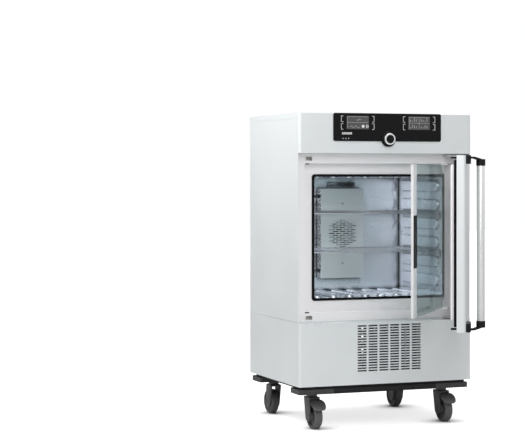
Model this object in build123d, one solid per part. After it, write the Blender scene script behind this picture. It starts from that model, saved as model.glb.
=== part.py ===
"""Floor-standing refrigerated incubator on castors, with an outer door, an inner glass door and two shelves.

Millimetres. X runs to the right and Y to the rear from the front plane of the control fascia, Z up from the
floor. The cabinet is centred on X. The two doors are drawn closed and then turned open, and the finished
model is moved so that its origin is the middle of its footprint.
"""
from build123d import *
from math import radians, sqrt, tan
import os

# Cabinet walls
CHAMBER_WIDTH = 560.0
CHAMBER_HEIGHT = 480.0
CHAMBER_DEPTH = 400.0
SIDE_WALL = 92.5
FLOOR_WALL = 86.5
CEILING_WALL = 89.5
REAR_WALL = 62.5
CASE_SHEET = 1.2
FORMED_SHEET = 1.5
EDGE_RADIUS = 10.0
PANEL_GAP = 0.4

# Stack of the cabinet above the floor
CASTOR_HEIGHT = 140.0
BASE_BLOCK_HEIGHT = 20.0
SKIRT_HEIGHT = 12.0
LOWER_PANEL_HEIGHT = 243.0
LEDGE_STEP = 6.0
FASCIA_HEIGHT = 155.5
FASCIA_GAP = 0.5
TOP_FOLD = 21.0

# Front frame and the recess for the glass door
DOOR_SPACE = 44.0
FRAME_SHEET = 2.0
RECESS_DEPTH = 32.0
RECESS_SIDE_MARGIN = 50.5
RECESS_TOP_MARGIN = 50.9
RECESS_BOTTOM_MARGIN = 53.8
RECESS_RADIUS = 4.0

# Chamber liner
LINER_RADIUS = 12.0
LINER_FLANGE = 15.0
RIB_COUNT = 6
RIB_PITCH = 76.6
FIRST_RIB_RISE = 56.5
RIB_WIDTH = 45.0
RIB_DEPTH = 6.0
RIB_DRAFT = 25.0
RIB_FRONT_SETBACK = 32.0
RIB_REAR_SETBACK = 30.0
ROOF_RIB_COUNT = 8
ROOF_RIB_WIDTH = 40.0

# Chamber gasket
GASKET_OVERLAP = 8.5
GASKET_WIDTH = 10.0
SEAL_CLEARANCE = 0.3

# Fan baffle on the chamber's rear wall
BAFFLE_WIDTH = 196.0
BAFFLE_DEPTH = 41.5
BAFFLE_FLOOR_GAP = 54.5
BAFFLE_CEILING_GAP = 52.5
FAN_OFFSET_X = 1.5
FAN_RISE = 240.8
GRILLE_ROWS = 15
GRILLE_ROW_PITCH = 7.8
GRILLE_SLOT_PITCH = 32.0
GRILLE_SLOT_LENGTH = 27.0
GRILLE_SLOT_HEIGHT = 3.6
GRILLE_WIDEST_COUNT = 4
SIDE_VENT_HEIGHT = 15.0
SIDE_VENT_INSET = 24.0
BAFFLE_SCREW_INSET = 62.0

# Circulation fan and motor
FAN_RADIUS = 50.0
FAN_SHAFT_RADIUS = 4.0
FAN_MOTOR_RADIUS = 32.0
FAN_MOTOR_LENGTH = 36.0
FAN_BLADES = 6
FAN_PITCH = 35.0
RUNNING_CLEARANCE = 0.05

# Evaporator behind the baffle
EVAPORATOR_WIDTH = 160.0
EVAPORATOR_HEIGHT = 50.0
EVAPORATOR_DEPTH = 30.0
EVAPORATOR_FINS = 6
EVAPORATOR_TUBE_RADIUS = 5.0

# Sensor guard above the baffle
GUARD_LENGTH = 100.0
GUARD_SPACING = 11.0
GUARD_ROD_RADIUS = 1.8
GUARD_DROP = 33.0
GUARD_STANDOFF = 14.0
GUARD_GROMMET_RADIUS = 7.5

# Shelves
SHELF_RIBS = {"lower_shelf": 1, "upper_shelf": 3}
SHELF_RISE = 46.0
SHELF_FRONT = 95.0
SHELF_BAFFLE_GAP = 6.0
SHELF_SIDE_GAP = 2.5
SHELF_ROD_RADIUS = 3.0
SHELF_WIRE_RADIUS = 1.5
SHELF_WIRES = 15
SHELF_RUNNER_SHEET = 2.5
SHELF_SEAT_GAP = 0.3

# Control panel on the fascia
PANEL_LEFT = -229.6
PANEL_RIGHT = 237.0
PANEL_BOTTOM_RISE = 47.7
PANEL_THICKNESS = 3.0
PANEL_TOP_THICKNESS = 2.2
PANEL_RADIUS = 8.0
DISPLAY_LEFT_EDGES = (-173.6, 93.0)
DISPLAY_WIDTH = 94.7
DISPLAY_BOTTOM_RISE = 94.5
DISPLAY_HEIGHT = 52.0
DISPLAY_POCKET = 1.5
KEY_CENTRES_X = (-189.9, -63.0, 77.3, 202.8)
KEY_CENTRES_RISE = (105.2, 134.6)
KEY_WIDTH = 14.5
KEY_HEIGHT = 25.0
KEY_PROUD = 0.4

# Knob
KNOB_X = 5.4
KNOB_RISE = 56.4
KNOB_BOSS_RADIUS = 30.0
KNOB_BOSS_DEPTH = 10.0
KNOB_RADIUS = 23.0
KNOB_RING_WIDTH = 6.0
KNOB_DEPTH = 9.0
KNOB_GAP = 3.0
KNOB_SHAFT_RADIUS = 3.0
KNOB_SHAFT_TAIL = 12.0
KNOB_TRAVEL = 2.0

# Air grille in the lower front panel
VENT_COLUMNS = 6
VENT_ROWS = 18
VENT_SLOT_WIDTH = 38.6
VENT_SLOT_HEIGHT = 5.6
VENT_COLUMN_PITCH = 46.9
VENT_ROW_PITCH = 10.33
VENT_OFFSET_X = 11.2
VENT_TOP_DROP = 13.5

# Screws
LEDGE_SCREW_PLACES = ((-300.0, 7.0), (-280.0, 7.0))
SCREW_RADIUS = 2.0
SCREW_HEAD_RADIUS = 3.5
SCREW_HEAD_HEIGHT = 2.0
SCREW_CLEARANCE = 0.2

# Outer door
DOOR_SIDE_MARGIN = 2.5
DOOR_THICKNESS = 33.0
DOOR_BOTTOM_GAP = 6.0
DOOR_TOP_GAP = 12.0
DOOR_SIDE_GASKET_INSET = 26.0
DOOR_END_GASKET_INSET = 17.0
DOOR_GASKET_WIDTH = 11.0
DOOR_PAN_GAP = 12.5
DOOR_PAN_END_GAP = 6.4
DOOR_PAN_FLOOR_GAP = 13.3
DOOR_PAN_DEPTH = 23.0
DOOR_OPEN_ANGLE = 61.0
SCOOP_CENTRE_INSET = 86.5
SCOOP_WIDTH = 83.0
SCOOP_DEPTH = 16.0
HINGE_PIN_RADIUS = 5.0
HINGE_PIN_LENGTH = 20.0
HINGE_PLATE_WIDTH = 102.0
HINGE_PLATE_THICKNESS = 3.5
HINGE_PLATE_GAP = 1.5
HINGE_BLOCK_WIDTH = 23.8

# Handle and latch of the outer door
BRACKET_INSET = 16.0
BRACKET_LENGTH = 125.0
BRACKET_HEIGHT = 31.0
BRACKET_PROUD = 17.0
LEVER_THICKNESS = 7.0
LEVER_DROP = 5.0
LEVER_SLOT_GAP = 1.5
LEVER_STEP = 11.0
LEVER_BEND = 50.0
LEVER_HUB_RADIUS = 9.0
LEVER_BAR_END_RADIUS = 10.0
CASSETTE_WALL = 2.0
CASSETTE_LENGTH = 62.0
LATCH_PIVOT_INSET = 30.0
LATCH_PIVOT_DEPTH = 17.0
LATCH_PIN_RADIUS = 3.0
BAR_REACH_X = 38.4
BAR_REACH_Y = 69.3
BAR_WIDTH = 22.0
BAR_DEPTH = 29.0
BAR_END_GAP = 38.0
CAP_HEIGHT = 24.0
CAP_WALL = 2.0
HOOK_NECK_LEFT = 22.0
HOOK_NECK_RIGHT = 31.0
HOOK_NOSE_LEFT = 16.7
HOOK_REACH = 38.0
HOOK_NOSE_LENGTH = 6.0
STRIKE_SLOT_WIDTH = 27.0
STRIKE_SLOT_HEIGHT = 16.0
STRIKE_MARGIN = 8.0
STRIKE_NOSE_GAP = 3.7
STRIKE_SHEET = 2.0
STRIKE_LIP = 0.5

# Glass door
GLASS_THICKNESS = 6.0
GLASS_CHEEK = 2.0
GLASS_OVERLAP = 0.5
GLASS_TOP_GAP = 5.4
GLASS_BOTTOM_GAP = 7.3
GLASS_OPEN_ANGLE = 51.3
GLASS_PIVOT_FORWARD = 12.0
GLASS_PIVOT_INSET = 4.6
GLASS_PIN_RADIUS = 4.0
GLASS_PIN_FLANGE = 1.0
EDGE_PROFILE_WIDTH = 55.0
GRIP_WIDTH = 52.0
GRIP_HEIGHT = 196.0
GRIP_PROUD = 2.5
GRIP_RISE = 186.0
FITTING_LENGTH = 27.0
FITTING_CLAMP_HEIGHT = 30.0
CATCH_LENGTH = 16.0
CATCH_HEIGHT = 4.0
CATCH_DEPTH = 14.0
CATCH_SETBACK = 4.0

# Base frame and castors
BASE_INSET_X = 6.5
BASE_FRONT = 12.0
BASE_REAR_INSET = 3.0
CORNER_BLOCK_LENGTH = 145.0
CORNER_BLOCK_DEPTH = 100.0
SKIRT_INSET = 20.5
RAIL_DEPTH = 28.0
STEM_X = 283.0
STEM_INSET = 76.0
STEM_RADIUS = 6.0
STEM_LENGTH = 16.0
STEM_END_GAP = 1.0
WHEEL_RADIUS = 50.0
WHEEL_WIDTH = 32.0
WHEEL_TRAIL = 26.0
WHEEL_TYRE = 9.0
WHEEL_HUB_RADIUS = 16.0
AXLE_RADIUS = 5.0
FORK_HEAD_RADIUS = 32.0
FORK_HEAD_HEIGHT = 12.0
FORK_CHEEK = 4.0
FORK_CHEEK_WIDTH = 51.2
FORK_CLEARANCE = 1.5
FORK_HEAD_GAP = 0.3
PEDAL_WIDTH = 24.0
PEDAL_REACH = 112.0
PEDAL_THICKNESS = 7.0
PEDAL_DROP = 6.0
PEDAL_PIN_RADIUS = 3.0
PEDAL_PIN_RISE = 10.0

# Machine compartment
COMPRESSOR_X = 190.0
COMPRESSOR_RADIUS = 72.0
COMPRESSOR_HEIGHT = 165.0
COMPRESSOR_REAR_GAP = 60.0
COMPRESSOR_FOOT_MARGIN = 20.0
CONDENSER_WIDTH = 300.0
CONDENSER_DEPTH = 40.0
CONDENSER_FINS = 10
CONDENSER_TUBES = 4
CONDENSER_FRONT_GAP = 16.0
COOLING_FAN_RADIUS = 75.0
COOLING_FAN_MOTOR_RADIUS = 25.0
COOLING_FAN_MOTOR_LENGTH = 40.0
COOLING_FAN_DEPTH = 24.0
COOLING_FAN_BLADES = 5
COOLING_FAN_PITCH = 40.0
INLET_X = -280.0
INLET_RISE = 60.0
INLET_WIDTH = 28.0
INLET_HEIGHT = 20.0
INLET_DEPTH = 16.0
INLET_PIN_PITCH = 7.0
INLET_PIN_RISE = 2.5
INLET_PIN_LENGTH = 10.0
INLET_PIN_WIDTH = 2.0
INLET_PIN_HEIGHT = 4.0
REAR_VENT_COLUMNS = 3
REAR_VENT_ROWS = 8
REAR_VENT_WIDTH = 90.0
REAR_VENT_HEIGHT = 6.0
REAR_VENT_COLUMN_PITCH = 110.0
REAR_VENT_ROW_PITCH = 18.0

# Wall spacers on the rear panel
SPACER_DEPTH = 44.0
SPACER_WIDTH = 40.0
SPACER_HEIGHT = 200.0
SPACER_X = 250.0
SPACER_TOP_DROP = 130.0

# Levels and planes worked out from the sizes above
BODY_BOTTOM = CASTOR_HEIGHT + BASE_BLOCK_HEIGHT + SKIRT_HEIGHT
LEDGE = BODY_BOTTOM + LOWER_PANEL_HEIGHT
FRAME_BOTTOM = LEDGE + LEDGE_STEP
CHAMBER_FLOOR = FRAME_BOTTOM + FLOOR_WALL
CHAMBER_TOP = CHAMBER_FLOOR + CHAMBER_HEIGHT
FRAME_TOP = CHAMBER_TOP + CEILING_WALL
FASCIA_BOTTOM = FRAME_TOP + FASCIA_GAP
CABINET_TOP = FASCIA_BOTTOM + FASCIA_HEIGHT
HALF_CHAMBER = CHAMBER_WIDTH / 2
HALF_CABINET = HALF_CHAMBER + SIDE_WALL
INNER_SIDE = HALF_CABINET - CASE_SHEET
RECESS_BACK = DOOR_SPACE + RECESS_DEPTH
LINER_FRONT = RECESS_BACK + FORMED_SHEET
LINER_REAR = LINER_FRONT + CHAMBER_DEPTH
CABINET_REAR = LINER_REAR + REAR_WALL
PANEL_FRONT = EDGE_RADIUS + 2.5 * PANEL_GAP
HALF_RECESS = HALF_CHAMBER + RECESS_SIDE_MARGIN
RECESS_TOP = CHAMBER_TOP + RECESS_TOP_MARGIN
RECESS_BOTTOM = CHAMBER_FLOOR - RECESS_BOTTOM_MARGIN
FAN_Z = CHAMBER_FLOOR + FAN_RISE
BAFFLE_FRONT = LINER_REAR - BAFFLE_DEPTH
BAFFLE_BOTTOM = CHAMBER_FLOOR + BAFFLE_FLOOR_GAP
BAFFLE_TOP = CHAMBER_TOP - BAFFLE_CEILING_GAP
ROOF_RIB_PITCH = CHAMBER_WIDTH / ROOF_RIB_COUNT
RIB_LEVELS = [CHAMBER_FLOOR + FIRST_RIB_RISE + RIB_PITCH * i for i in range(RIB_COUNT)]
KNOB_Z = FASCIA_BOTTOM + KNOB_RISE
KNOB_REAR = -KNOB_BOSS_DEPTH - KNOB_GAP
HALF_DOOR = HALF_CABINET - DOOR_SIDE_MARGIN
DOOR_BOTTOM = FRAME_BOTTOM + DOOR_BOTTOM_GAP
DOOR_TOP = FRAME_TOP - DOOR_TOP_GAP
DOOR_MIDDLE = (DOOR_BOTTOM + DOOR_TOP) / 2
HINGE_X = HALF_DOOR - EDGE_RADIUS
HINGE_Y = EDGE_RADIUS
LATCH_X = -HALF_DOOR + LATCH_PIVOT_INSET
LEVER_TOP = DOOR_TOP - LEVER_DROP
LEVER_BOTTOM = LEVER_TOP - LEVER_THICKNESS
SLOT_TOP = LEVER_TOP + LEVER_SLOT_GAP
SLOT_BOTTOM = LEVER_BOTTOM - LEVER_SLOT_GAP
BAR_X = LATCH_X + BAR_REACH_X
BAR_Y = LATCH_PIVOT_DEPTH - BAR_REACH_Y
BAR_TOP = DOOR_TOP - BAR_END_GAP
GLASS_REAR = RECESS_BACK - GLASS_THICKNESS - GLASS_CHEEK
GLASS_FRONT = GLASS_REAR - GLASS_THICKNESS
HALF_GLASS = HALF_CHAMBER + GASKET_OVERLAP + GLASS_OVERLAP
GLASS_TOP = RECESS_TOP - GLASS_TOP_GAP
GLASS_BOTTOM = RECESS_BOTTOM + GLASS_BOTTOM_GAP
GLASS_PIVOT_X = HALF_GLASS + GLASS_PIVOT_INSET
GLASS_PIVOT_Y = GLASS_FRONT - GLASS_PIVOT_FORWARD
BASE_HALF = HALF_CABINET - BASE_INSET_X
BASE_REAR = CABINET_REAR - BASE_REAR_INSET
UPRIGHT = (Align.CENTER, Align.CENTER, Align.MIN)


# Shared drawing steps
def block(x, y, z):
    """A rectangular block between two X, two Y and two Z values."""
    centre = [(low + high) / 2 for low, high in (x, y, z)]
    return Pos(*centre) * Box(x[1] - x[0], y[1] - y[0], z[1] - z[0])


def bar(start, end, radius):
    """A round bar from one point to another."""
    run = Vector(*end) - Vector(*start)
    return Plane(origin=start, z_dir=run) * Cylinder(radius, run.length, align=UPRIGHT)


def from_front(sketch, front, back):
    """A sketch drawn in X and Z, given depth from one Y value to another."""
    return extrude(Plane.XZ.offset(-back) * sketch, amount=back - front)


def from_side(sketch, left, right):
    """A sketch drawn in Y and Z, given width from one X value to another."""
    return extrude(Plane.YZ.offset(left) * sketch, amount=right - left)


def from_above(sketch, bottom, top):
    """A sketch drawn in X and Y, given height from one Z value to another."""
    return extrude(Plane.XY.offset(bottom) * sketch, amount=top - bottom)


def rectangle(x, z, radius=0.0):
    """A rectangle between two pairs of values, with round corners where a radius is given."""
    width = x[1] - x[0]
    height = z[1] - z[0]
    shape = RectangleRounded(width, height, radius) if radius else Rectangle(width, height)
    return Pos((x[0] + x[1]) / 2, (z[0] + z[1]) / 2) * shape


def grown(pair, amount):
    """A pair of limits moved apart by an amount on each side."""
    return (pair[0] - amount, pair[1] + amount)


def round_front(solid, radius):
    """Rounds the two upright front edges of a block."""
    edges = solid.edges().filter_by(Axis.Z).group_by(Axis.Y)[0]
    return fillet(edges, radius)


def mirrored_pair(solid, plane):
    """A piece and its mirror image, kept as two solids."""
    return Compound(children=[solid, mirror(solid, about=plane)])


def both_sides(solid):
    """A piece and its mirror image on the cabinet's other side."""
    return mirrored_pair(solid, Plane.YZ)


def both_ends(solid):
    """A piece of the outer door's top and its mirror image at the door's bottom."""
    return mirrored_pair(solid, Plane.XY.offset(DOOR_MIDDLE))


# Cabinet case
def side_sheet(bottom, top):
    """One side sheet with its rear flange."""
    sheet = block((INNER_SIDE, HALF_CABINET), (PANEL_FRONT, CABINET_REAR), (bottom, top))
    flange_x = (HALF_CABINET - SKIRT_INSET, HALF_CABINET)
    return sheet + block(flange_x, (CABINET_REAR - CASE_SHEET, CABINET_REAR), (bottom, top))


def upper_side_panels():
    return both_sides(side_sheet(FRAME_BOTTOM + PANEL_GAP, CABINET_TOP - TOP_FOLD - PANEL_GAP))


def lower_side_panels():
    return both_sides(side_sheet(BODY_BOTTOM, FRAME_BOTTOM - PANEL_GAP))


def top_cover():
    """Top sheet folded down over the side sheets."""
    low = CABINET_TOP - TOP_FOLD
    outer = block((-HALF_CABINET, HALF_CABINET), (PANEL_FRONT, CABINET_REAR), (low, CABINET_TOP))
    inner_y = (PANEL_FRONT, CABINET_REAR - CASE_SHEET)
    return outer - block((-INNER_SIDE, INNER_SIDE), inner_y, (low, CABINET_TOP - CASE_SHEET))


def rear_vents():
    """Slots that let the machine compartment breathe out of the rear panel."""
    middle = BODY_BOTTOM + LOWER_PANEL_HEIGHT / 2
    places = GridLocations(REAR_VENT_COLUMN_PITCH, REAR_VENT_ROW_PITCH, REAR_VENT_COLUMNS, REAR_VENT_ROWS)
    slot = Rectangle(REAR_VENT_WIDTH, REAR_VENT_HEIGHT)
    slots = [Pos(0, middle) * place * slot for place in places]
    return from_front(Sketch() + slots, CABINET_REAR - CASE_SHEET, CABINET_REAR)


def inlet_outline(margin):
    """Outline of the power inlet, grown by a margin."""
    rise = BODY_BOTTOM + INLET_RISE
    x = grown((INLET_X - INLET_WIDTH / 2, INLET_X + INLET_WIDTH / 2), margin)
    return rectangle(x, grown((rise - INLET_HEIGHT / 2, rise + INLET_HEIGHT / 2), margin))


def rear_panel():
    half = HALF_CABINET - SKIRT_INSET - PANEL_GAP
    sheet_y = (CABINET_REAR - CASE_SHEET, CABINET_REAR)
    sheet = block((-half, half), sheet_y, (BODY_BOTTOM, CABINET_TOP - TOP_FOLD))
    return sheet - rear_vents() - from_front(inlet_outline(FORMED_SHEET), *sheet_y)


def wall_spacers():
    """Two upright hat sections that keep the cabinet off the wall."""
    top = CABINET_TOP - SPACER_TOP_DROP
    x = (SPACER_X - SPACER_WIDTH / 2, SPACER_X + SPACER_WIDTH / 2)
    back = CABINET_REAR + SPACER_DEPTH
    outer = rectangle(x, (CABINET_REAR, back))
    inner = rectangle(grown(x, -FRAME_SHEET), (CABINET_REAR, back - FRAME_SHEET))
    return both_sides(from_above(outer - inner, top - SPACER_HEIGHT, top))


def bottom_tray():
    """Floor of the machine compartment on a set-back skirt."""
    plate_y = (DOOR_SPACE, CABINET_REAR - CASE_SHEET)
    plate = block((-INNER_SIDE, INNER_SIDE), plate_y, (BODY_BOTTOM, BODY_BOTTOM + FORMED_SHEET))
    x = grown((-HALF_CABINET, HALF_CABINET), -SKIRT_INSET)
    y = (SKIRT_INSET, CABINET_REAR - SKIRT_INSET)
    skirt = rectangle(x, y) - rectangle(grown(x, -FRAME_SHEET), grown(y, -FRAME_SHEET))
    return plate + from_above(skirt, BODY_BOTTOM - SKIRT_HEIGHT, BODY_BOTTOM)


def front_tub(bottom, top, inner_top):
    """A folded front panel with round upright edges, nested behind the side sheets and open to the rear."""
    lip = block((-HALF_CABINET, HALF_CABINET), (0, PANEL_FRONT - PANEL_GAP), (bottom, top))
    half = INNER_SIDE - PANEL_GAP
    body = block((-half, half), (PANEL_FRONT - PANEL_GAP, DOOR_SPACE), (bottom, inner_top))
    hollow = block(
        grown((-half, half), -FORMED_SHEET),
        (FORMED_SHEET, DOOR_SPACE),
        (bottom + FORMED_SHEET, inner_top - FORMED_SHEET),
    )
    return round_front(lip, EDGE_RADIUS) + body - round_front(hollow, EDGE_RADIUS - FORMED_SHEET)


def knob_axis_bar(front, back, radius):
    """A round bar on the knob's axis."""
    return bar((KNOB_X, front, KNOB_Z), (KNOB_X, back, KNOB_Z), radius)


def control_fascia():
    tub = front_tub(FASCIA_BOTTOM, CABINET_TOP, CABINET_TOP - CASE_SHEET)
    return tub - knob_axis_bar(0, FORMED_SHEET, 2 * KNOB_SHAFT_RADIUS)


def vent_slots():
    """The air grille: columns of short level slots."""
    middle = LEDGE - VENT_TOP_DROP - VENT_ROW_PITCH * (VENT_ROWS - 1) / 2
    places = GridLocations(VENT_COLUMN_PITCH, VENT_ROW_PITCH, VENT_COLUMNS, VENT_ROWS)
    slot = Rectangle(VENT_SLOT_WIDTH, VENT_SLOT_HEIGHT)
    slots = [Pos(VENT_OFFSET_X, middle) * place * slot for place in places]
    return from_front(Sketch() + slots, 0, FORMED_SHEET)


def lower_front_panel():
    """Lower front panel with its air grille, its ledge and an upstand that ends beside the door's hinge."""
    tub = front_tub(BODY_BOTTOM, LEDGE, LEDGE)
    upstand = block(
        (PANEL_GAP - INNER_SIDE, HALF_DOOR - HINGE_PLATE_WIDTH - PANEL_GAP),
        (DOOR_SPACE - FORMED_SHEET, DOOR_SPACE),
        (LEDGE - FORMED_SHEET, FRAME_BOTTOM - PANEL_GAP),
    )
    holes = [
        bar((x, y, LEDGE - FORMED_SHEET), (x, y, LEDGE), SCREW_RADIUS + SCREW_CLEARANCE)
        for x, y in LEDGE_SCREW_PLACES
    ]
    return tub + upstand - vent_slots() - holes


# Front frame, foam and chamber
RECESS_X = (-HALF_RECESS, HALF_RECESS)
RECESS_Z = (RECESS_BOTTOM, RECESS_TOP)
CHAMBER_X = (-HALF_CHAMBER, HALF_CHAMBER)
CHAMBER_Z = (CHAMBER_FLOOR, CHAMBER_TOP)
STRIKE_SLOT_LEFT = LATCH_X + HOOK_NOSE_LEFT - STRIKE_NOSE_GAP
STRIKE_SLOT_X = (STRIKE_SLOT_LEFT, STRIKE_SLOT_LEFT + STRIKE_SLOT_WIDTH)
STRIKE_MIDDLE = (LEVER_TOP + LEVER_BOTTOM) / 2
STRIKE_SLOT_Z = (STRIKE_MIDDLE - STRIKE_SLOT_HEIGHT / 2, STRIKE_MIDDLE + STRIKE_SLOT_HEIGHT / 2)


def room_outline(x, z, radius, margin):
    """Outline of a pressed room with round corners, grown by a margin."""
    return rectangle(grown(x, margin), grown(z, margin), radius + margin)


def front_frame():
    """Pressed frame: outer rim, walls of the recess and the ring around the chamber's mouth."""
    half = INNER_SIDE - PANEL_GAP
    walls = room_outline(RECESS_X, RECESS_Z, RECESS_RADIUS, FORMED_SHEET)
    recess = rectangle(RECESS_X, RECESS_Z, RECESS_RADIUS)
    rim_outline = rectangle((-half, half), (FRAME_BOTTOM, FRAME_TOP))
    rim = from_front(rim_outline, DOOR_SPACE, DOOR_SPACE + FRAME_SHEET)
    tub = from_front(walls, DOOR_SPACE, LINER_FRONT)
    hollow = from_front(recess, DOOR_SPACE, RECESS_BACK)
    mouth = from_front(rectangle(CHAMBER_X, CHAMBER_Z, LINER_RADIUS), RECESS_BACK, LINER_FRONT)
    slot = from_front(rectangle(STRIKE_SLOT_X, STRIKE_SLOT_Z), DOOR_SPACE, DOOR_SPACE + FRAME_SHEET)
    return rim + tub - hollow - mouth - both_ends(slot)


def latch_strikes():
    """Plates behind the frame that the latch hooks pull against."""
    plate = rectangle(grown(STRIKE_SLOT_X, STRIKE_MARGIN), grown(STRIKE_SLOT_Z, FORMED_SHEET))
    slot = rectangle(grown(STRIKE_SLOT_X, -STRIKE_LIP), grown(STRIKE_SLOT_Z, -STRIKE_LIP))
    back = DOOR_SPACE + FRAME_SHEET
    return both_ends(from_front(plate - slot, back, back + STRIKE_SHEET))


def insulation():
    """Foamed wall around the chamber, with pockets for the latch hooks and the fan motor."""
    front = DOOR_SPACE + FRAME_SHEET
    rear = CABINET_REAR - CASE_SHEET
    foam = block((-INNER_SIDE, INNER_SIDE), (front, rear), (FRAME_BOTTOM, FRAME_TOP))
    recess = room_outline(RECESS_X, RECESS_Z, RECESS_RADIUS, FORMED_SHEET)
    flange = rectangle(grown(CHAMBER_X, LINER_FLANGE), grown(CHAMBER_Z, LINER_FLANGE), LINER_RADIUS)
    tank = room_outline(CHAMBER_X, CHAMBER_Z, LINER_RADIUS, FORMED_SHEET)
    pocket_z = (SLOT_BOTTOM - LEVER_DROP, SLOT_TOP + LEVER_DROP)
    pocket = block(grown(STRIKE_SLOT_X, STRIKE_MARGIN), (front, front + BRACKET_PROUD), pocket_z)
    motor_room = bar(
        (FAN_OFFSET_X, LINER_REAR, FAN_Z),
        (FAN_OFFSET_X, LINER_REAR + FORMED_SHEET + FAN_MOTOR_LENGTH, FAN_Z),
        FAN_MOTOR_RADIUS,
    )
    return (
        foam
        - from_front(recess, front, LINER_FRONT)
        - from_front(flange, LINER_FRONT, LINER_FRONT + FORMED_SHEET)
        - from_front(tank, LINER_FRONT, LINER_REAR + FORMED_SHEET)
        - both_ends(pocket)
        - motor_room
    )


def rib(origin, outward, across):
    """A drafted racetrack rib that stands into the chamber and runs from front to rear."""
    length = CHAMBER_DEPTH - RIB_FRONT_SETBACK - RIB_REAR_SETBACK
    plane = Plane(origin=origin, x_dir=(0, 1, 0), z_dir=outward)
    return extrude(plane * SlotOverall(length, across), amount=RIB_DEPTH, taper=RIB_DRAFT)


def liner_ribs():
    """Shelf ribs on both side walls and stiffening ribs in the ceiling and the floor."""
    middle = LINER_FRONT + (CHAMBER_DEPTH + RIB_FRONT_SETBACK - RIB_REAR_SETBACK) / 2
    ribs = []
    for level in RIB_LEVELS:
        ribs.append(rib((HALF_CHAMBER, middle, level), (-1, 0, 0), RIB_WIDTH))
        ribs.append(rib((-HALF_CHAMBER, middle, level), (1, 0, 0), RIB_WIDTH))
    for i in range(ROOF_RIB_COUNT):
        x = ROOF_RIB_PITCH * (i - (ROOF_RIB_COUNT - 1) / 2)
        ribs.append(rib((x, middle, CHAMBER_TOP), (0, 0, -1), ROOF_RIB_WIDTH))
        ribs.append(rib((x, middle, CHAMBER_FLOOR), (0, 0, 1), ROOF_RIB_WIDTH))
    return ribs


def chamber_liner():
    """Deep-drawn liner with pressed ribs and a front flange."""
    tank = room_outline(CHAMBER_X, CHAMBER_Z, LINER_RADIUS, FORMED_SHEET)
    flange = rectangle(grown(CHAMBER_X, LINER_FLANGE), grown(CHAMBER_Z, LINER_FLANGE), LINER_RADIUS)
    room = rectangle(CHAMBER_X, CHAMBER_Z, LINER_RADIUS)
    shell = from_front(tank, LINER_FRONT, LINER_REAR + FORMED_SHEET)
    shell += from_front(flange, LINER_FRONT, LINER_FRONT + FORMED_SHEET)
    shell -= from_front(room, LINER_FRONT, LINER_REAR)
    shaft_hole = bar(
        (FAN_OFFSET_X, LINER_REAR, FAN_Z),
        (FAN_OFFSET_X, LINER_REAR + FORMED_SHEET, FAN_Z),
        2 * FAN_SHAFT_RADIUS,
    )
    return shell + liner_ribs() - shaft_hole


def chamber_gasket():
    """Soft ring around the chamber's mouth that the glass door closes on."""
    x = grown(CHAMBER_X, GASKET_OVERLAP)
    z = grown(CHAMBER_Z, GASKET_OVERLAP)
    outer = rectangle(x, z, LINER_RADIUS)
    inner = rectangle(grown(x, -GASKET_WIDTH), grown(z, -GASKET_WIDTH), LINER_RADIUS - GASKET_WIDTH / 2)
    front = GLASS_REAR + GLASS_CHEEK + SEAL_CLEARANCE
    ring = from_front(outer - inner, front, RECESS_BACK)
    return chamfer(ring.faces().sort_by(Axis.Y)[0].edges(), GASKET_WIDTH / 5)


# Air circulation in the chamber
def fan_grille():
    """Staggered rows of level slots in a round field in front of the fan."""
    slots = []
    for row in range(GRILLE_ROWS):
        widest = GRILLE_WIDEST_COUNT if row % 2 else GRILLE_WIDEST_COUNT - 1
        count = min(row + 1, GRILLE_ROWS - row, widest)
        z = FAN_Z + GRILLE_ROW_PITCH * (row - (GRILLE_ROWS - 1) / 2)
        for i in range(count):
            x = FAN_OFFSET_X + GRILLE_SLOT_PITCH * (i - (count - 1) / 2)
            slots.append(Pos(x, z) * Rectangle(GRILLE_SLOT_LENGTH, GRILLE_SLOT_HEIGHT))
    return from_front(Sketch() + slots, BAFFLE_FRONT, BAFFLE_FRONT + CASE_SHEET)


BAFFLE_SCREW_LEVELS = (BAFFLE_BOTTOM + BAFFLE_SCREW_INSET, BAFFLE_TOP - BAFFLE_SCREW_INSET)


def fan_baffle():
    """Sheet box over the fan, open to the rear wall, with slots in its face and vents in its sides."""
    half = BAFFLE_WIDTH / 2
    outer = block((-half, half), (BAFFLE_FRONT, LINER_REAR), (BAFFLE_BOTTOM, BAFFLE_TOP))
    hollow = block(
        grown((-half, half), -CASE_SHEET),
        (BAFFLE_FRONT + CASE_SHEET, LINER_REAR),
        grown((BAFFLE_BOTTOM, BAFFLE_TOP), -CASE_SHEET),
    )
    box = round_front(outer, 2 * CASE_SHEET) - hollow - fan_grille()
    vent_y = grown((BAFFLE_FRONT, LINER_REAR), -2 * FORMED_SHEET)
    for low in (BAFFLE_BOTTOM + SIDE_VENT_INSET, BAFFLE_TOP - SIDE_VENT_INSET - SIDE_VENT_HEIGHT):
        box -= block((-half, half), vent_y, (low, low + SIDE_VENT_HEIGHT))
    for level in BAFFLE_SCREW_LEVELS:
        box -= bar(
            (FAN_OFFSET_X, BAFFLE_FRONT, level),
            (FAN_OFFSET_X, BAFFLE_FRONT + CASE_SHEET, level),
            SCREW_RADIUS + SCREW_CLEARANCE,
        )
    return box


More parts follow.
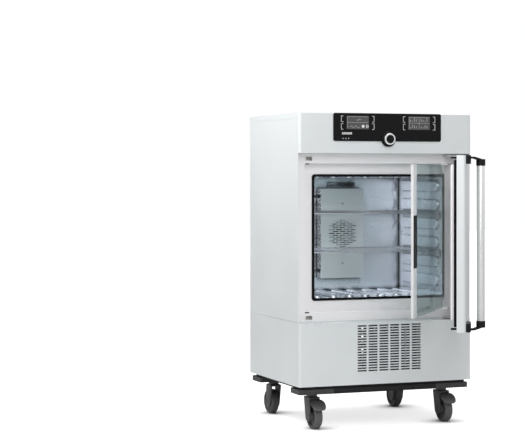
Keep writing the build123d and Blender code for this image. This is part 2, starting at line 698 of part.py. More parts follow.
def panel_screws():
    """Long screws that hold the baffle on the rear wall, and the short ones in the ledge."""
    screws = []
    for level in BAFFLE_SCREW_LEVELS:
        front = (FAN_OFFSET_X, BAFFLE_FRONT - SCREW_HEAD_HEIGHT, level)
        face = (FAN_OFFSET_X, BAFFLE_FRONT, level)
        wall = (FAN_OFFSET_X, LINER_REAR, level)
        screws.append(bar(front, face, SCREW_HEAD_RADIUS) + bar(face, wall, SCREW_RADIUS))
    for x, y in LEDGE_SCREW_PLACES:
        head = bar((x, y, LEDGE), (x, y, LEDGE + SCREW_HEAD_HEIGHT), SCREW_HEAD_RADIUS)
        screws.append(head + bar((x, y, LEDGE - 4 * SCREW_RADIUS), (x, y, LEDGE), SCREW_RADIUS))
    return Compound(children=screws)


def fan_axis_bar(front, back, radius):
    """A round bar on the circulation fan's axis."""
    return bar((FAN_OFFSET_X, front, FAN_Z), (FAN_OFFSET_X, back, FAN_Z), radius)


def circulation_fan_motor():
    """Motor in the foam behind the liner, with its shaft through the rear wall."""
    back = LINER_REAR + FORMED_SHEET
    body = fan_axis_bar(back, back + FAN_MOTOR_LENGTH, FAN_MOTOR_RADIUS)
    body = fillet(body.edges().sort_by(Axis.Y)[-1], FAN_MOTOR_RADIUS / 6)
    return body + fan_axis_bar(BAFFLE_FRONT + BAFFLE_DEPTH / 3, back, FAN_SHAFT_RADIUS)


def fan_wheel(depth, radius, blades, pitch):
    """A hub with flat blades set at a pitch, drawn around the Y axis from the origin to the rear."""
    hub_radius = radius / 4
    blade_length = radius - hub_radius / 2
    flat = Rot(pitch, 0, 0) * Box(blade_length, CASE_SHEET, depth)
    blade = Pos(hub_radius / 2 + blade_length / 2, depth / 2, 0) * flat
    wheel = bar((0, 0, 0), (0, depth, 0), hub_radius)
    for i in range(blades):
        wheel += Rot(0, 360 / blades * i, 0) * blade
    return wheel - bar((0, 0, 0), (0, depth, 0), FAN_SHAFT_RADIUS + RUNNING_CLEARANCE)


def circulation_fan():
    depth = BAFFLE_DEPTH / 3
    wheel = fan_wheel(depth, FAN_RADIUS, FAN_BLADES, FAN_PITCH)
    return Pos(FAN_OFFSET_X, BAFFLE_FRONT + BAFFLE_DEPTH / 2, FAN_Z) * wheel


def evaporator():
    """Finned coil that hangs on the rear wall below the fan, inside the baffle."""
    top = FAN_Z - FAN_RADIUS - SIDE_VENT_HEIGHT
    z = (top - EVAPORATOR_HEIGHT, top)
    y = (LINER_REAR - EVAPORATOR_DEPTH, LINER_REAR)
    half = EVAPORATOR_WIDTH / 2
    pitch = (EVAPORATOR_WIDTH - FORMED_SHEET) / (EVAPORATOR_FINS - 1)
    coil = Part()
    for i in range(EVAPORATOR_FINS):
        left = -half + pitch * i
        coil += block((left, left + FORMED_SHEET), y, z)
    for level in grown(z, -EVAPORATOR_HEIGHT / 4):
        coil += bar((-half, sum(y) / 2, level), (half, sum(y) / 2, level), EVAPORATOR_TUBE_RADIUS)
    return coil


def sensor_guard():
    """Temperature probe in a two-rod guard, held in a grommet on the rear wall."""
    level = CHAMBER_TOP - GUARD_DROP
    y = LINER_REAR - GUARD_STANDOFF
    right = FAN_OFFSET_X + GUARD_LENGTH / 2 + GUARD_GROMMET_RADIUS
    left = FAN_OFFSET_X - GUARD_LENGTH / 2
    guard = bar((right, y - GUARD_GROMMET_RADIUS, level), (right, LINER_REAR, level), GUARD_GROMMET_RADIUS)
    for z in (level - GUARD_SPACING / 2, level + GUARD_SPACING / 2):
        guard += bar((left, y, z), (right, y, z), GUARD_ROD_RADIUS)
        guard += bar((left, y, z), (left, LINER_REAR, z), GUARD_ROD_RADIUS)
    return guard + bar((FAN_OFFSET_X, y, level), (right, y, level), 1.5 * GUARD_ROD_RADIUS)


# Controls
def control_panel():
    """Moulded control panel that hooks over the fascia's top edge, with pockets for the displays."""
    bottom = FASCIA_BOTTOM + PANEL_BOTTOM_RISE
    top = CABINET_TOP + PANEL_TOP_THICKNESS
    x = (PANEL_LEFT, PANEL_RIGHT)
    face = from_front(rectangle(x, (bottom, top), PANEL_RADIUS), -PANEL_THICKNESS, 0)
    lip_x = grown(x, -PANEL_RADIUS)
    lip = block(lip_x, (-PANEL_THICKNESS, PANEL_FRONT - PANEL_GAP), (CABINET_TOP, top))
    pocket_back = -PANEL_THICKNESS + DISPLAY_POCKET
    pockets = [from_front(window, -PANEL_THICKNESS, pocket_back) for window in display_outlines()]
    return face + lip - pockets - knob_axis_bar(-PANEL_THICKNESS, 0, KNOB_BOSS_RADIUS + PANEL_GAP)


def display_outlines():
    bottom = FASCIA_BOTTOM + DISPLAY_BOTTOM_RISE
    return [
        rectangle((left, left + DISPLAY_WIDTH), (bottom, bottom + DISPLAY_HEIGHT), CASE_SHEET)
        for left in DISPLAY_LEFT_EDGES
    ]


def display_windows():
    front = -PANEL_THICKNESS - KEY_PROUD
    return Compound(children=[
        from_front(window, front, -PANEL_THICKNESS + DISPLAY_POCKET) for window in display_outlines()
    ])


def touch_keys():
    """Thin touch pads beside the displays."""
    pads = []
    for x in KEY_CENTRES_X:
        for rise in KEY_CENTRES_RISE:
            pad = Pos(x, FASCIA_BOTTOM + rise) * RectangleRounded(KEY_WIDTH, KEY_HEIGHT, 2 * KEY_PROUD)
            pads.append(from_front(pad, -PANEL_THICKNESS - KEY_PROUD, -PANEL_THICKNESS))
    return Compound(children=pads)


def controller_board():
    """Circuit board on stand-offs behind the fascia, with the knob's encoder on it."""
    front = FORMED_SHEET + KNOB_SHAFT_TAIL
    x = (PANEL_LEFT + KNOB_BOSS_RADIUS, PANEL_RIGHT - KNOB_BOSS_RADIUS)
    z = (KNOB_Z - KNOB_SHAFT_TAIL, CABINET_TOP - KNOB_SHAFT_TAIL)
    board = block(x, (front, front + FORMED_SHEET), z)
    encoder = knob_axis_bar(FORMED_SHEET + KNOB_TRAVEL, front, 3 * KNOB_SHAFT_RADIUS)
    board += encoder - knob_axis_bar(FORMED_SHEET, front, KNOB_SHAFT_RADIUS + RUNNING_CLEARANCE)
    inset = 2 * SCREW_HEAD_RADIUS
    for px in grown(x, -inset):
        for pz in grown(z, -inset):
            board += bar((px, FORMED_SHEET, pz), (px, front, pz), SCREW_HEAD_RADIUS)
    return board


def knob_boss():
    """Round black boss that the knob turns in front of."""
    boss = knob_axis_bar(-KNOB_BOSS_DEPTH, 0, KNOB_BOSS_RADIUS)
    boss = chamfer(boss.edges().sort_by(Axis.Y)[0], KNOB_BOSS_DEPTH / 5)
    return boss - knob_axis_bar(-KNOB_BOSS_DEPTH, 0, KNOB_SHAFT_RADIUS + RUNNING_CLEARANCE)


def knob_shaft():
    """Encoder shaft, which slides in when the knob is pressed."""
    front = KNOB_REAR - KNOB_DEPTH + 2 * CASE_SHEET
    return knob_axis_bar(front, KNOB_SHAFT_TAIL - KNOB_TRAVEL, KNOB_SHAFT_RADIUS)


def knob_cap():
    """Black middle of the knob, which turns on the shaft."""
    face = KNOB_REAR - KNOB_DEPTH + CASE_SHEET
    cap = knob_axis_bar(face, KNOB_REAR, KNOB_RADIUS - KNOB_RING_WIDTH)
    return cap - knob_axis_bar(face + CASE_SHEET, KNOB_REAR, KNOB_SHAFT_RADIUS + RUNNING_CLEARANCE)


def knob_ring():
    """Metal ring around the knob's middle."""
    ring = knob_axis_bar(KNOB_REAR - KNOB_DEPTH, KNOB_REAR, KNOB_RADIUS)
    ring = chamfer(ring.edges().sort_by(Axis.Y)[0], CASE_SHEET)
    return ring - knob_axis_bar(KNOB_REAR - KNOB_DEPTH, KNOB_REAR, KNOB_RADIUS - KNOB_RING_WIDTH)


# Outer door
DOOR_X = (-HALF_DOOR, HALF_DOOR)
DOOR_Z = (DOOR_BOTTOM, DOOR_TOP)
SCOOP_X = -HALF_DOOR + SCOOP_CENTRE_INSET
SCOOP_RADIUS = ((SCOOP_WIDTH / 2) ** 2 + SCOOP_DEPTH ** 2) / (2 * SCOOP_DEPTH)
PAN_X = grown(RECESS_X, -DOOR_PAN_GAP)
PAN_Z = (RECESS_BOTTOM + DOOR_PAN_FLOOR_GAP, RECESS_TOP - DOOR_PAN_END_GAP)
CASSETTE_X = (-HALF_DOOR + BRACKET_INSET, -HALF_DOOR + BRACKET_INSET + CASSETTE_LENGTH)
CASSETTE_Z = (SLOT_BOTTOM - CASSETTE_WALL, SLOT_TOP + CASSETTE_WALL)


def scoop(growth):
    """Round-backed hollow behind the handle bar, grown by a sheet's thickness where the foam follows it."""
    centre_y = SCOOP_DEPTH - SCOOP_RADIUS
    low = DOOR_BOTTOM + BRACKET_HEIGHT - growth
    high = DOOR_TOP - BRACKET_HEIGHT + growth
    return bar((SCOOP_X, centre_y, low), (SCOOP_X, centre_y, high), SCOOP_RADIUS + growth)


def door_hollow():
    """Space inside the door's outer skin."""
    hollow = block(grown(DOOR_X, -CASE_SHEET), (CASE_SHEET, DOOR_THICKNESS), grown(DOOR_Z, -CASE_SHEET))
    return round_front(hollow, EDGE_RADIUS - CASE_SHEET) - scoop(CASE_SHEET)


def hinge_block():
    """Corner stiffener that the upper hinge pin turns in."""
    x = (HALF_DOOR - HINGE_BLOCK_WIDTH - CASE_SHEET, HALF_DOOR - CASE_SHEET)
    z = (DOOR_TOP - CASE_SHEET - HINGE_PIN_LENGTH, DOOR_TOP - CASE_SHEET)
    solid = block(x, (CASE_SHEET, DOOR_THICKNESS - CASE_SHEET), z)
    edge = solid.edges().filter_by(Axis.Z).group_by(Axis.Y)[0].sort_by(Axis.X)[-1]
    return fillet(edge, EDGE_RADIUS - CASE_SHEET)


def hinge_bore():
    """Hole for the upper hinge pin."""
    low = DOOR_TOP - CASE_SHEET - HINGE_PIN_LENGTH
    return bar((HINGE_X, HINGE_Y, low), (HINGE_X, HINGE_Y, DOOR_TOP), HINGE_PIN_RADIUS + RUNNING_CLEARANCE)


def cassette_room(front, back):
    """Room through the leaf for the latch cassette."""
    return both_ends(block(CASSETTE_X, (front, back), CASSETTE_Z))


def door_shell():
    """Outer skin of the door, with the finger scoop and the hinge stiffeners welded in."""
    outer = round_front(block(DOOR_X, (0, DOOR_THICKNESS), DOOR_Z), EDGE_RADIUS)
    shell = outer - scoop(0) - door_hollow() + both_ends(hinge_block())
    return shell - both_ends(hinge_bore()) - cassette_room(0, DOOR_THICKNESS)


def pan_block(front, wall):
    """The door's pan as a solid with a bevelled back, drawn in by a wall's thickness."""
    outline = rectangle(grown(PAN_X, -wall), grown(PAN_Z, -wall), RECESS_RADIUS)
    pan = from_front(outline, front, DOOR_THICKNESS + DOOR_PAN_DEPTH - wall)
    return chamfer(pan.faces().sort_by(Axis.Y)[-1].edges(), RECESS_RADIUS)


def door_insulation():
    """Foam core of the door, which fills its leaf and its pan."""
    inner = DOOR_THICKNESS - CASE_SHEET
    leaf = door_hollow() - block(DOOR_X, (inner, DOOR_THICKNESS), DOOR_Z)
    core = leaf + pan_block(inner, CASE_SHEET)
    return core - both_ends(hinge_block()) - cassette_room(0, DOOR_THICKNESS)


def door_inner_panel():
    """Inner sheet of the door, pressed into a pan that stands into the recess."""
    inner = DOOR_THICKNESS - CASE_SHEET
    sheet = block(grown(DOOR_X, -CASE_SHEET), (inner, DOOR_THICKNESS), grown(DOOR_Z, -CASE_SHEET))
    shell = sheet + pan_block(DOOR_THICKNESS, 0) - pan_block(inner, CASE_SHEET)
    return shell - cassette_room(inner, DOOR_THICKNESS)


def door_gasket():
    """Magnetic gasket around the door's pan."""
    x = grown(DOOR_X, -DOOR_SIDE_GASKET_INSET)
    z = grown(DOOR_Z, -DOOR_END_GASKET_INSET)
    inner = rectangle(grown(x, -DOOR_GASKET_WIDTH), grown(z, -DOOR_GASKET_WIDTH))
    ring = rectangle(x, z, RECESS_RADIUS) - inner
    solid = from_front(ring, DOOR_THICKNESS, DOOR_SPACE - SEAL_CLEARANCE)
    return chamfer(solid.faces().sort_by(Axis.Y)[-1].edges(), DOOR_GASKET_WIDTH / 4)


def door_hinge_plates():
    """Plates on the front frame that carry the door's two pins."""
    bottom = DOOR_TOP + HINGE_PLATE_GAP
    x = (HALF_DOOR - HINGE_PLATE_WIDTH, HALF_DOOR)
    y = (HINGE_Y - HINGE_PIN_RADIUS - FRAME_SHEET, DOOR_SPACE)
    plate = block(x, y, (bottom, bottom + HINGE_PLATE_THICKNESS))
    plate = fillet(plate.edges().filter_by(Axis.Z).group_by(Axis.Y)[0], HINGE_PIN_RADIUS)
    flange_z = (bottom + HINGE_PLATE_THICKNESS, bottom + 2 * HINGE_PLATE_THICKNESS + FRAME_SHEET)
    plate += block(x, (DOOR_SPACE - FRAME_SHEET, DOOR_SPACE), flange_z)
    pin_end = (HINGE_X, HINGE_Y, bottom - HINGE_PIN_LENGTH)
    return both_ends(plate + bar(pin_end, (HINGE_X, HINGE_Y, bottom), HINGE_PIN_RADIUS))


# Handle and latch
def latch_axis_bar(bottom, top, radius):
    """A round bar on the latch's axis."""
    return bar((LATCH_X, LATCH_PIVOT_DEPTH, bottom), (LATCH_X, LATCH_PIVOT_DEPTH, top), radius)


def handle_brackets():
    """Black end brackets of the handle, each with a cassette through the leaf that holds a latch pin."""
    left = -HALF_DOOR + BRACKET_INSET
    right = left + BRACKET_LENGTH
    corner = BRACKET_PROUD / 3
    outline = Polyline(
        (left, 0),
        (left, -BRACKET_PROUD + corner),
        (left + corner, -BRACKET_PROUD),
        (right - 2 * BRACKET_PROUD, -BRACKET_PROUD),
        (right, -corner / 2),
        (right, 0),
        close=True,
    )
    bracket = from_above(make_face(outline), DOOR_TOP - BRACKET_HEIGHT, DOOR_TOP)
    bracket += block(CASSETTE_X, (0, DOOR_THICKNESS), CASSETTE_Z)
    slot_x = (CASSETTE_X[0] + CASSETTE_WALL, CASSETTE_X[1] - CASSETTE_WALL)
    bracket -= block(slot_x, (-BRACKET_PROUD, DOOR_THICKNESS), (SLOT_BOTTOM, SLOT_TOP))
    return both_ends(bracket + latch_axis_bar(SLOT_BOTTOM, SLOT_TOP, LATCH_PIN_RADIUS))


def handle_bar():
    """Oval grip bar."""
    oval = Pos(BAR_X, BAR_Y) * Ellipse(BAR_WIDTH / 2, BAR_DEPTH / 2)
    return from_above(oval, DOOR_BOTTOM + BAR_END_GAP, BAR_TOP)


def lever_arm():
    """Cranked arm from the latch pivot to the bar's end."""
    pivot = (LATCH_X, LATCH_PIVOT_DEPTH)
    reach = sqrt(BAR_REACH_X ** 2 + BAR_REACH_Y ** 2)
    ends = Pos(*pivot) * Circle(LEVER_HUB_RADIUS) + Pos(BAR_X, BAR_Y) * Circle(LEVER_BAR_END_RADIUS)
    outline = make_hull(ends.edges())
    low = LEVER_BOTTOM - LEVER_STEP
    along = Plane(
        origin=(pivot[0], pivot[1], 0),
        x_dir=(BAR_REACH_X, -BAR_REACH_Y, 0),
        z_dir=(BAR_REACH_Y, BAR_REACH_X, 0),
    )
    tip = reach + LEVER_BAR_END_RADIUS
    z_side = along.y_dir.Z
    crank = Polyline(
        (-LEVER_HUB_RADIUS, z_side * LEVER_TOP),
        (LEVER_BEND, z_side * LEVER_TOP),
        (tip, z_side * (LEVER_TOP - LEVER_STEP)),
        (tip, z_side * (LEVER_BOTTOM - LEVER_STEP)),
        (LEVER_BEND, z_side * LEVER_BOTTOM),
        (-LEVER_HUB_RADIUS, z_side * LEVER_BOTTOM),
        close=True,
    )
    slab = extrude(along * make_face(crank), amount=3 * LEVER_HUB_RADIUS, both=True)
    return from_above(outline, low, LEVER_TOP) & slab


def latch_hook():
    """Hook on the lever's rear end, in the lever's own plane."""
    left = LATCH_X + HOOK_NECK_LEFT
    right = LATCH_X + HOOK_NECK_RIGHT
    nose_y = LATCH_PIVOT_DEPTH + HOOK_REACH
    outline = Polyline(
        (LATCH_X, LATCH_PIVOT_DEPTH + LEVER_HUB_RADIUS),
        (LATCH_X, LATCH_PIVOT_DEPTH - LEVER_HUB_RADIUS),
        (right, LATCH_PIVOT_DEPTH),
        (right, nose_y),
        (LATCH_X + HOOK_NOSE_LEFT, nose_y),
        (LATCH_X + HOOK_NOSE_LEFT, nose_y - HOOK_NOSE_LENGTH),
        (left, nose_y - HOOK_NOSE_LENGTH),
        (left, LATCH_PIVOT_DEPTH + LEVER_HUB_RADIUS),
        close=True,
    )
    return from_above(make_face(outline), LEVER_BOTTOM, LEVER_TOP)


def handle_levers():
    """Bell-crank levers: grip-bar cap, arm, pivot and hook in one piece at each end of the bar."""
    cap = from_above(
        Pos(BAR_X, BAR_Y) * Ellipse(BAR_WIDTH / 2 + CAP_WALL, BAR_DEPTH / 2 + CAP_WALL),
        BAR_TOP,
        BAR_TOP + CAP_HEIGHT,
    )
    lever = cap + lever_arm() + latch_hook()
    return both_ends(lever - latch_axis_bar(LEVER_BOTTOM, LEVER_TOP, LATCH_PIN_RADIUS + RUNNING_CLEARANCE))


# Glass door
GLASS_X = (-HALF_GLASS, HALF_GLASS)
PROFILE_X = (-HALF_GLASS, -HALF_GLASS + EDGE_PROFILE_WIDTH)
GLASS_CLAMP_Y = (GLASS_FRONT - GLASS_CHEEK, GLASS_REAR + GLASS_CHEEK)


def glass_pane():
    x = (-HALF_GLASS + FORMED_SHEET, HALF_GLASS)
    return block(x, (GLASS_FRONT, GLASS_REAR), (GLASS_BOTTOM, GLASS_TOP))


def glass_edge_profile():
    """Channel on the free edge of the pane."""
    channel = block(PROFILE_X, GLASS_CLAMP_Y, (GLASS_BOTTOM, GLASS_TOP))
    channel = fillet(channel.edges().filter_by(Axis.Z).group_by(Axis.X)[0], GLASS_CHEEK)
    return channel - glass_pane()


def glass_grip():
    """Flat black grip on the channel."""
    middle = sum(PROFILE_X) / 2
    low = GLASS_BOTTOM + GRIP_RISE
    front = GLASS_FRONT - GLASS_CHEEK
    x = (middle - GRIP_WIDTH / 2, middle + GRIP_WIDTH / 2)
    plate = rectangle(x, (low, low + GRIP_HEIGHT), RECESS_RADIUS)
    grip = from_front(plate, front - GRIP_PROUD, front)
    return chamfer(grip.faces().sort_by(Axis.Y)[0].edges(), GRIP_PROUD / 3)


def glass_fitting(glass_edge, outer_face):
    """Corner fitting: a plate over the pane's edge, a clamp over its corner and an ear for the pivot."""
    toward_pane = 1 if glass_edge > outer_face else -1
    clamp_end = glass_edge + toward_pane * FITTING_CLAMP_HEIGHT
    x = (HALF_GLASS - FITTING_LENGTH, HALF_GLASS)
    clamp = block(x, GLASS_CLAMP_Y, sorted((outer_face, clamp_end)))
    ear_x = (x[0], GLASS_PIVOT_X + 2 * GLASS_PIN_RADIUS)
    ear_y = (GLASS_PIVOT_Y - GLASS_PIN_RADIUS - FORMED_SHEET, GLASS_CLAMP_Y[1])
    ear = block(ear_x, ear_y, sorted((glass_edge, outer_face)))
    ear = fillet(ear.edges().filter_by(Axis.Z).group_by(Axis.X)[-1], GLASS_PIN_RADIUS)
    hole = bar(
        (GLASS_PIVOT_X, GLASS_PIVOT_Y, min(glass_edge, outer_face)),
        (GLASS_PIVOT_X, GLASS_PIVOT_Y, max(glass_edge, outer_face)),
        GLASS_PIN_RADIUS + RUNNING_CLEARANCE,
    )
    return clamp + ear - glass_pane() - hole


FITTING_TOP = RECESS_TOP - GLASS_PIN_FLANGE - SEAL_CLEARANCE
FITTING_BOTTOM = RECESS_BOTTOM + GLASS_PIN_FLANGE + SEAL_CLEARANCE


def glass_door_fittings():
    return Compound(children=[
        glass_fitting(GLASS_TOP, FITTING_TOP),
        glass_fitting(GLASS_BOTTOM, FITTING_BOTTOM),
    ])


def glass_door_pivots():
    """Flanged pins in the recess that the glass door turns on."""
    pins = []
    centre = (GLASS_PIVOT_X, GLASS_PIVOT_Y)
    flange_radius = GLASS_PIN_RADIUS + FORMED_SHEET
    for wall, edge in ((RECESS_TOP, GLASS_TOP), (RECESS_BOTTOM, GLASS_BOTTOM)):
        inward = -1 if edge < wall else 1
        flange = bar((*centre, wall), (*centre, wall + inward * GLASS_PIN_FLANGE), flange_radius)
        pins.append(flange + bar((*centre, wall), (*centre, edge), GLASS_PIN_RADIUS))
    return Compound(children=pins)


def glass_door_catches():
    """Small black catches in the free-side corners of the recess."""
    left = -HALF_RECESS + RECESS_RADIUS
    x = (left, left + CATCH_LENGTH)
    y = (DOOR_SPACE + CATCH_SETBACK, DOOR_SPACE + CATCH_SETBACK + CATCH_DEPTH)
    return Compound(children=[
        block(x, y, (RECESS_TOP - CATCH_HEIGHT, RECESS_TOP)),
        block(x, y, (RECESS_BOTTOM, RECESS_BOTTOM + CATCH_HEIGHT)),
    ])


# Shelves
def shelf(rib_index):
    """Wire rack on two side runners that stand on a pair of ribs."""
    flank_drop = SHELF_SIDE_GAP * tan(radians(RIB_DRAFT))
    seat = RIB_LEVELS[rib_index] + RIB_WIDTH / 2 - flank_drop + SHELF_SEAT_GAP
    level = RIB_LEVELS[rib_index] + SHELF_RISE
    rear = BAFFLE_FRONT - SHELF_BAFFLE_GAP
    outer = HALF_CHAMBER - SHELF_SIDE_GAP
    inner = outer - SHELF_RUNNER_SHEET
    rack = Part()
    for side in (-1, 1):
        rack += block(sorted((side * inner, side * outer)), (SHELF_FRONT, rear), (seat, level))
    for y in (SHELF_FRONT + SHELF_ROD_RADIUS, rear - SHELF_ROD_RADIUS):
        rack += bar((-inner, y, level), (inner, y, level), SHELF_ROD_RADIUS)
    pitch = 2 * inner / (SHELF_WIRES + 1)
    wire_level = level + SHELF_ROD_RADIUS - SHELF_WIRE_RADIUS
    wire_y = (SHELF_FRONT + SHELF_ROD_RADIUS, rear - SHELF_ROD_RADIUS)
    for i in range(SHELF_WIRES):
        x = -inner + pitch * (i + 1)
        rack += bar((x, wire_y[0], wire_level), (x, wire_y[1], wire_level), SHELF_WIRE_RADIUS)
    return rack


# Base and castors
BASE_TOP = CASTOR_HEIGHT + BASE_BLOCK_HEIGHT
BLOCK_X = (BASE_HALF - CORNER_BLOCK_LENGTH, BASE_HALF)
STEM_FRONT = BASE_FRONT + STEM_INSET
STEM_REAR = BASE_REAR - CORNER_BLOCK_DEPTH + STEM_INSET - WHEEL_TRAIL / 2
CASTORS = {
    "front_left": (-STEM_X, STEM_FRONT, -1),
    "front_right": (STEM_X, STEM_FRONT, -1),
    "rear_left": (-STEM_X, STEM_REAR, 1),
    "rear_right": (STEM_X, STEM_REAR, 1),
}


def corner_blocks():
    """Blocks under the cabinet's corners that the castor stems plug into."""
    blocks = []
    for y in ((BASE_FRONT, BASE_FRONT + CORNER_BLOCK_DEPTH), (BASE_REAR - CORNER_BLOCK_DEPTH, BASE_REAR)):
        solid = block(BLOCK_X, y, (CASTOR_HEIGHT, BASE_TOP))
        solid = fillet(solid.edges().filter_by(Axis.Z).group_by(Axis.X)[-1], EDGE_RADIUS)
        blocks += [solid, mirror(solid, about=Plane.YZ)]
    hole_top = CASTOR_HEIGHT + STEM_LENGTH + STEM_END_GAP
    hole_radius = STEM_RADIUS + RUNNING_CLEARANCE
    holes = [bar((x, y, CASTOR_HEIGHT), (x, y, hole_top), hole_radius) for x, y, turn in CASTORS.values()]
    return Compound(children=[solid - holes for solid in blocks])


def base_rails():
    """Cross rails between the corner blocks, front and rear."""
    x = (-BLOCK_X[0], BLOCK_X[0])
    depths = ((BASE_FRONT, BASE_FRONT + RAIL_DEPTH), (BASE_REAR - RAIL_DEPTH, BASE_REAR))
    return Compound(children=[block(x, y, (CASTOR_HEIGHT, BASE_TOP)) for y in depths])


def castor_fork(turn):
    """Swivel fork with its stem and axle, drawn on the stem's axis with the floor at zero."""
    head_top = CASTOR_HEIGHT - FORK_HEAD_GAP
    head_low = head_top - FORK_HEAD_HEIGHT
    axle_y = turn * WHEEL_TRAIL
    cheek_in = WHEEL_WIDTH / 2 + FORK_CLEARANCE
    head = Pos(0, 0, head_low) * Cylinder(FORK_HEAD_RADIUS, FORK_HEAD_HEIGHT, align=UPRIGHT)
    head = chamfer(head.edges().sort_by(Axis.Z)[-1], FORK_HEAD_HEIGHT / 3)
    stem = bar((0, 0, head_low), (0, 0, CASTOR_HEIGHT + STEM_LENGTH), STEM_RADIUS)
    top_edge = Pos(0, head_low + FORK_CHEEK / 2) * Rectangle(FORK_CHEEK_WIDTH, FORK_CHEEK)
    foot = Pos(axle_y, WHEEL_RADIUS) * Circle(2 * AXLE_RADIUS)
    cheek = make_hull((top_edge + foot).edges())
    fork = head + stem
    for side in (-1, 1):
        inner = side * cheek_in
        outer = side * (cheek_in + FORK_CHEEK)
        fork += from_side(cheek, min(inner, outer), max(inner, outer))
    half = cheek_in + FORK_CHEEK + CASE_SHEET
    return fork + bar((-half, axle_y, WHEEL_RADIUS), (half, axle_y, WHEEL_RADIUS), AXLE_RADIUS)


PEDAL_PIN_Z = 2 * WHEEL_RADIUS + PEDAL_PIN_RISE


def with_pedal_pin(fork):
    """A fork with the pin that its brake pedal turns on."""
    half = WHEEL_WIDTH / 2 + FORK_CLEARANCE + FORK_CHEEK
    return fork + bar((-half, 0, PEDAL_PIN_Z), (half, 0, PEDAL_PIN_Z), PEDAL_PIN_RADIUS)


def castor_wheel():
    """Wheel with a round-shouldered tyre and a set-back web, drawn around the X axis at the origin."""
    half = WHEEL_WIDTH / 2
    rim = WHEEL_RADIUS - WHEEL_TYRE
    web = half / 3
    shoulder = WHEEL_TYRE / 2
    outline = Polyline(
        (-half, AXLE_RADIUS + RUNNING_CLEARANCE),
        (-half, WHEEL_HUB_RADIUS),
        (-web, WHEEL_HUB_RADIUS),
        (-web, rim - shoulder),
        (-half, rim),
        (-half, WHEEL_RADIUS - shoulder),
        (-half + shoulder, WHEEL_RADIUS),
        (half - shoulder, WHEEL_RADIUS),
        (half, WHEEL_RADIUS - shoulder),
        (half, rim),
        (web, rim - shoulder),
        (web, WHEEL_HUB_RADIUS),
        (half, WHEEL_HUB_RADIUS),
        (half, AXLE_RADIUS + RUNNING_CLEARANCE),
        close=True,
    )
    return revolve(make_face(outline), Axis.X)


def brake_pedal():
    """Brake pedal over the wheel, drawn on the stem's axis with the floor at zero."""
    sole = WHEEL_RADIUS * 2 + FORK_CLEARANCE
    top = sole + PEDAL_THICKNESS
    outline = Polyline(
        (PEDAL_PIN_RADIUS * 2, sole + PEDAL_THICKNESS / 2),
        (PEDAL_PIN_RADIUS * 2, PEDAL_PIN_Z + PEDAL_PIN_RADIUS + FRAME_SHEET),
        (-PEDAL_PIN_RADIUS * 2, PEDAL_PIN_Z + PEDAL_PIN_RADIUS + FRAME_SHEET),
        (-PEDAL_REACH / 2, top),
        (-PEDAL_REACH - WHEEL_TRAIL, top - PEDAL_DROP),
        (-PEDAL_REACH - WHEEL_TRAIL, sole - PEDAL_DROP),
        (-PEDAL_REACH / 2, sole + FORK_CLEARANCE),
        close=True,
    )
    pedal = from_side(make_face(outline), -PEDAL_WIDTH / 2, PEDAL_WIDTH / 2)
    hole = bar(
        (-PEDAL_WIDTH / 2, 0, PEDAL_PIN_Z),
        (PEDAL_WIDTH / 2, 0, PEDAL_PIN_Z),
        PEDAL_PIN_RADIUS + RUNNING_CLEARANCE,
    )
    return pedal - hole


# Machine compartment
MACHINE_FLOOR = BODY_BOTTOM + FORMED_SHEET
MACHINE_MIDDLE = (MACHINE_FLOOR + LEDGE) / 2
CONDENSER_FRONT = DOOR_SPACE + CONDENSER_FRONT_GAP


def compressor():
    """Hermetic compressor: a domed can on a base plate."""
    y = CABINET_REAR - CASE_SHEET - COMPRESSOR_REAR_GAP - COMPRESSOR_RADIUS
    low = MACHINE_FLOOR + FRAME_SHEET
    can = bar((COMPRESSOR_X, y, low), (COMPRESSOR_X, y, low + COMPRESSOR_HEIGHT), COMPRESSOR_RADIUS)
    can = fillet(can.edges().sort_by(Axis.Z)[-1], COMPRESSOR_RADIUS / 2)
    half = COMPRESSOR_RADIUS + COMPRESSOR_FOOT_MARGIN
    foot = block((COMPRESSOR_X - half, COMPRESSOR_X + half), (y - half, y + half), (MACHINE_FLOOR, low))
    return can + foot


def condenser():
    """Finned condenser behind the air grille."""
    half = CONDENSER_WIDTH / 2
    y = (CONDENSER_FRONT, CONDENSER_FRONT + CONDENSER_DEPTH)
    z = (MACHINE_FLOOR, LEDGE - BASE_BLOCK_HEIGHT)
    x = (VENT_OFFSET_X - half, VENT_OFFSET_X + half)
    frame = block(x, y, z) - block(grown(x, -FRAME_SHEET), y, grown(z, -FRAME_SHEET))
    pitch = (CONDENSER_WIDTH - 2 * FRAME_SHEET) / (CONDENSER_FINS + 1)
    for i in range(CONDENSER_FINS):
        left = x[0] + FRAME_SHEET + pitch * (i + 1)
        frame += block((left, left + CASE_SHEET), y, z)
    for i in range(CONDENSER_TUBES):
        level = z[0] + (z[1] - z[0]) * (i + 0.5) / CONDENSER_TUBES
        frame += block(x, grown(y, -CONDENSER_DEPTH / 4), (level, level + 2 * FRAME_SHEET))
    return frame


COOLING_FAN_Z = MACHINE_FLOOR + COOLING_FAN_RADIUS + BASE_BLOCK_HEIGHT
COOLING_FAN_FRONT = CONDENSER_FRONT + CONDENSER_DEPTH + BASE_BLOCK_HEIGHT


def condenser_fan_motor():
    """Fan motor on a bent strap behind the condenser."""
    front = COOLING_FAN_FRONT + COOLING_FAN_DEPTH + FRAME_SHEET
    back = front + COOLING_FAN_MOTOR_LENGTH
    x, z = VENT_OFFSET_X, COOLING_FAN_Z
    body = bar((x, front, z), (x, back, z), COOLING_FAN_MOTOR_RADIUS)
    shaft = bar((x, COOLING_FAN_FRONT, z), (x, front, z), FAN_SHAFT_RADIUS)
    strap = block(
        grown((x, x), COOLING_FAN_MOTOR_RADIUS / 2),
        (back, back + FRAME_SHEET),
        (MACHINE_FLOOR, z + COOLING_FAN_MOTOR_RADIUS),
    )
    return body + shaft + strap


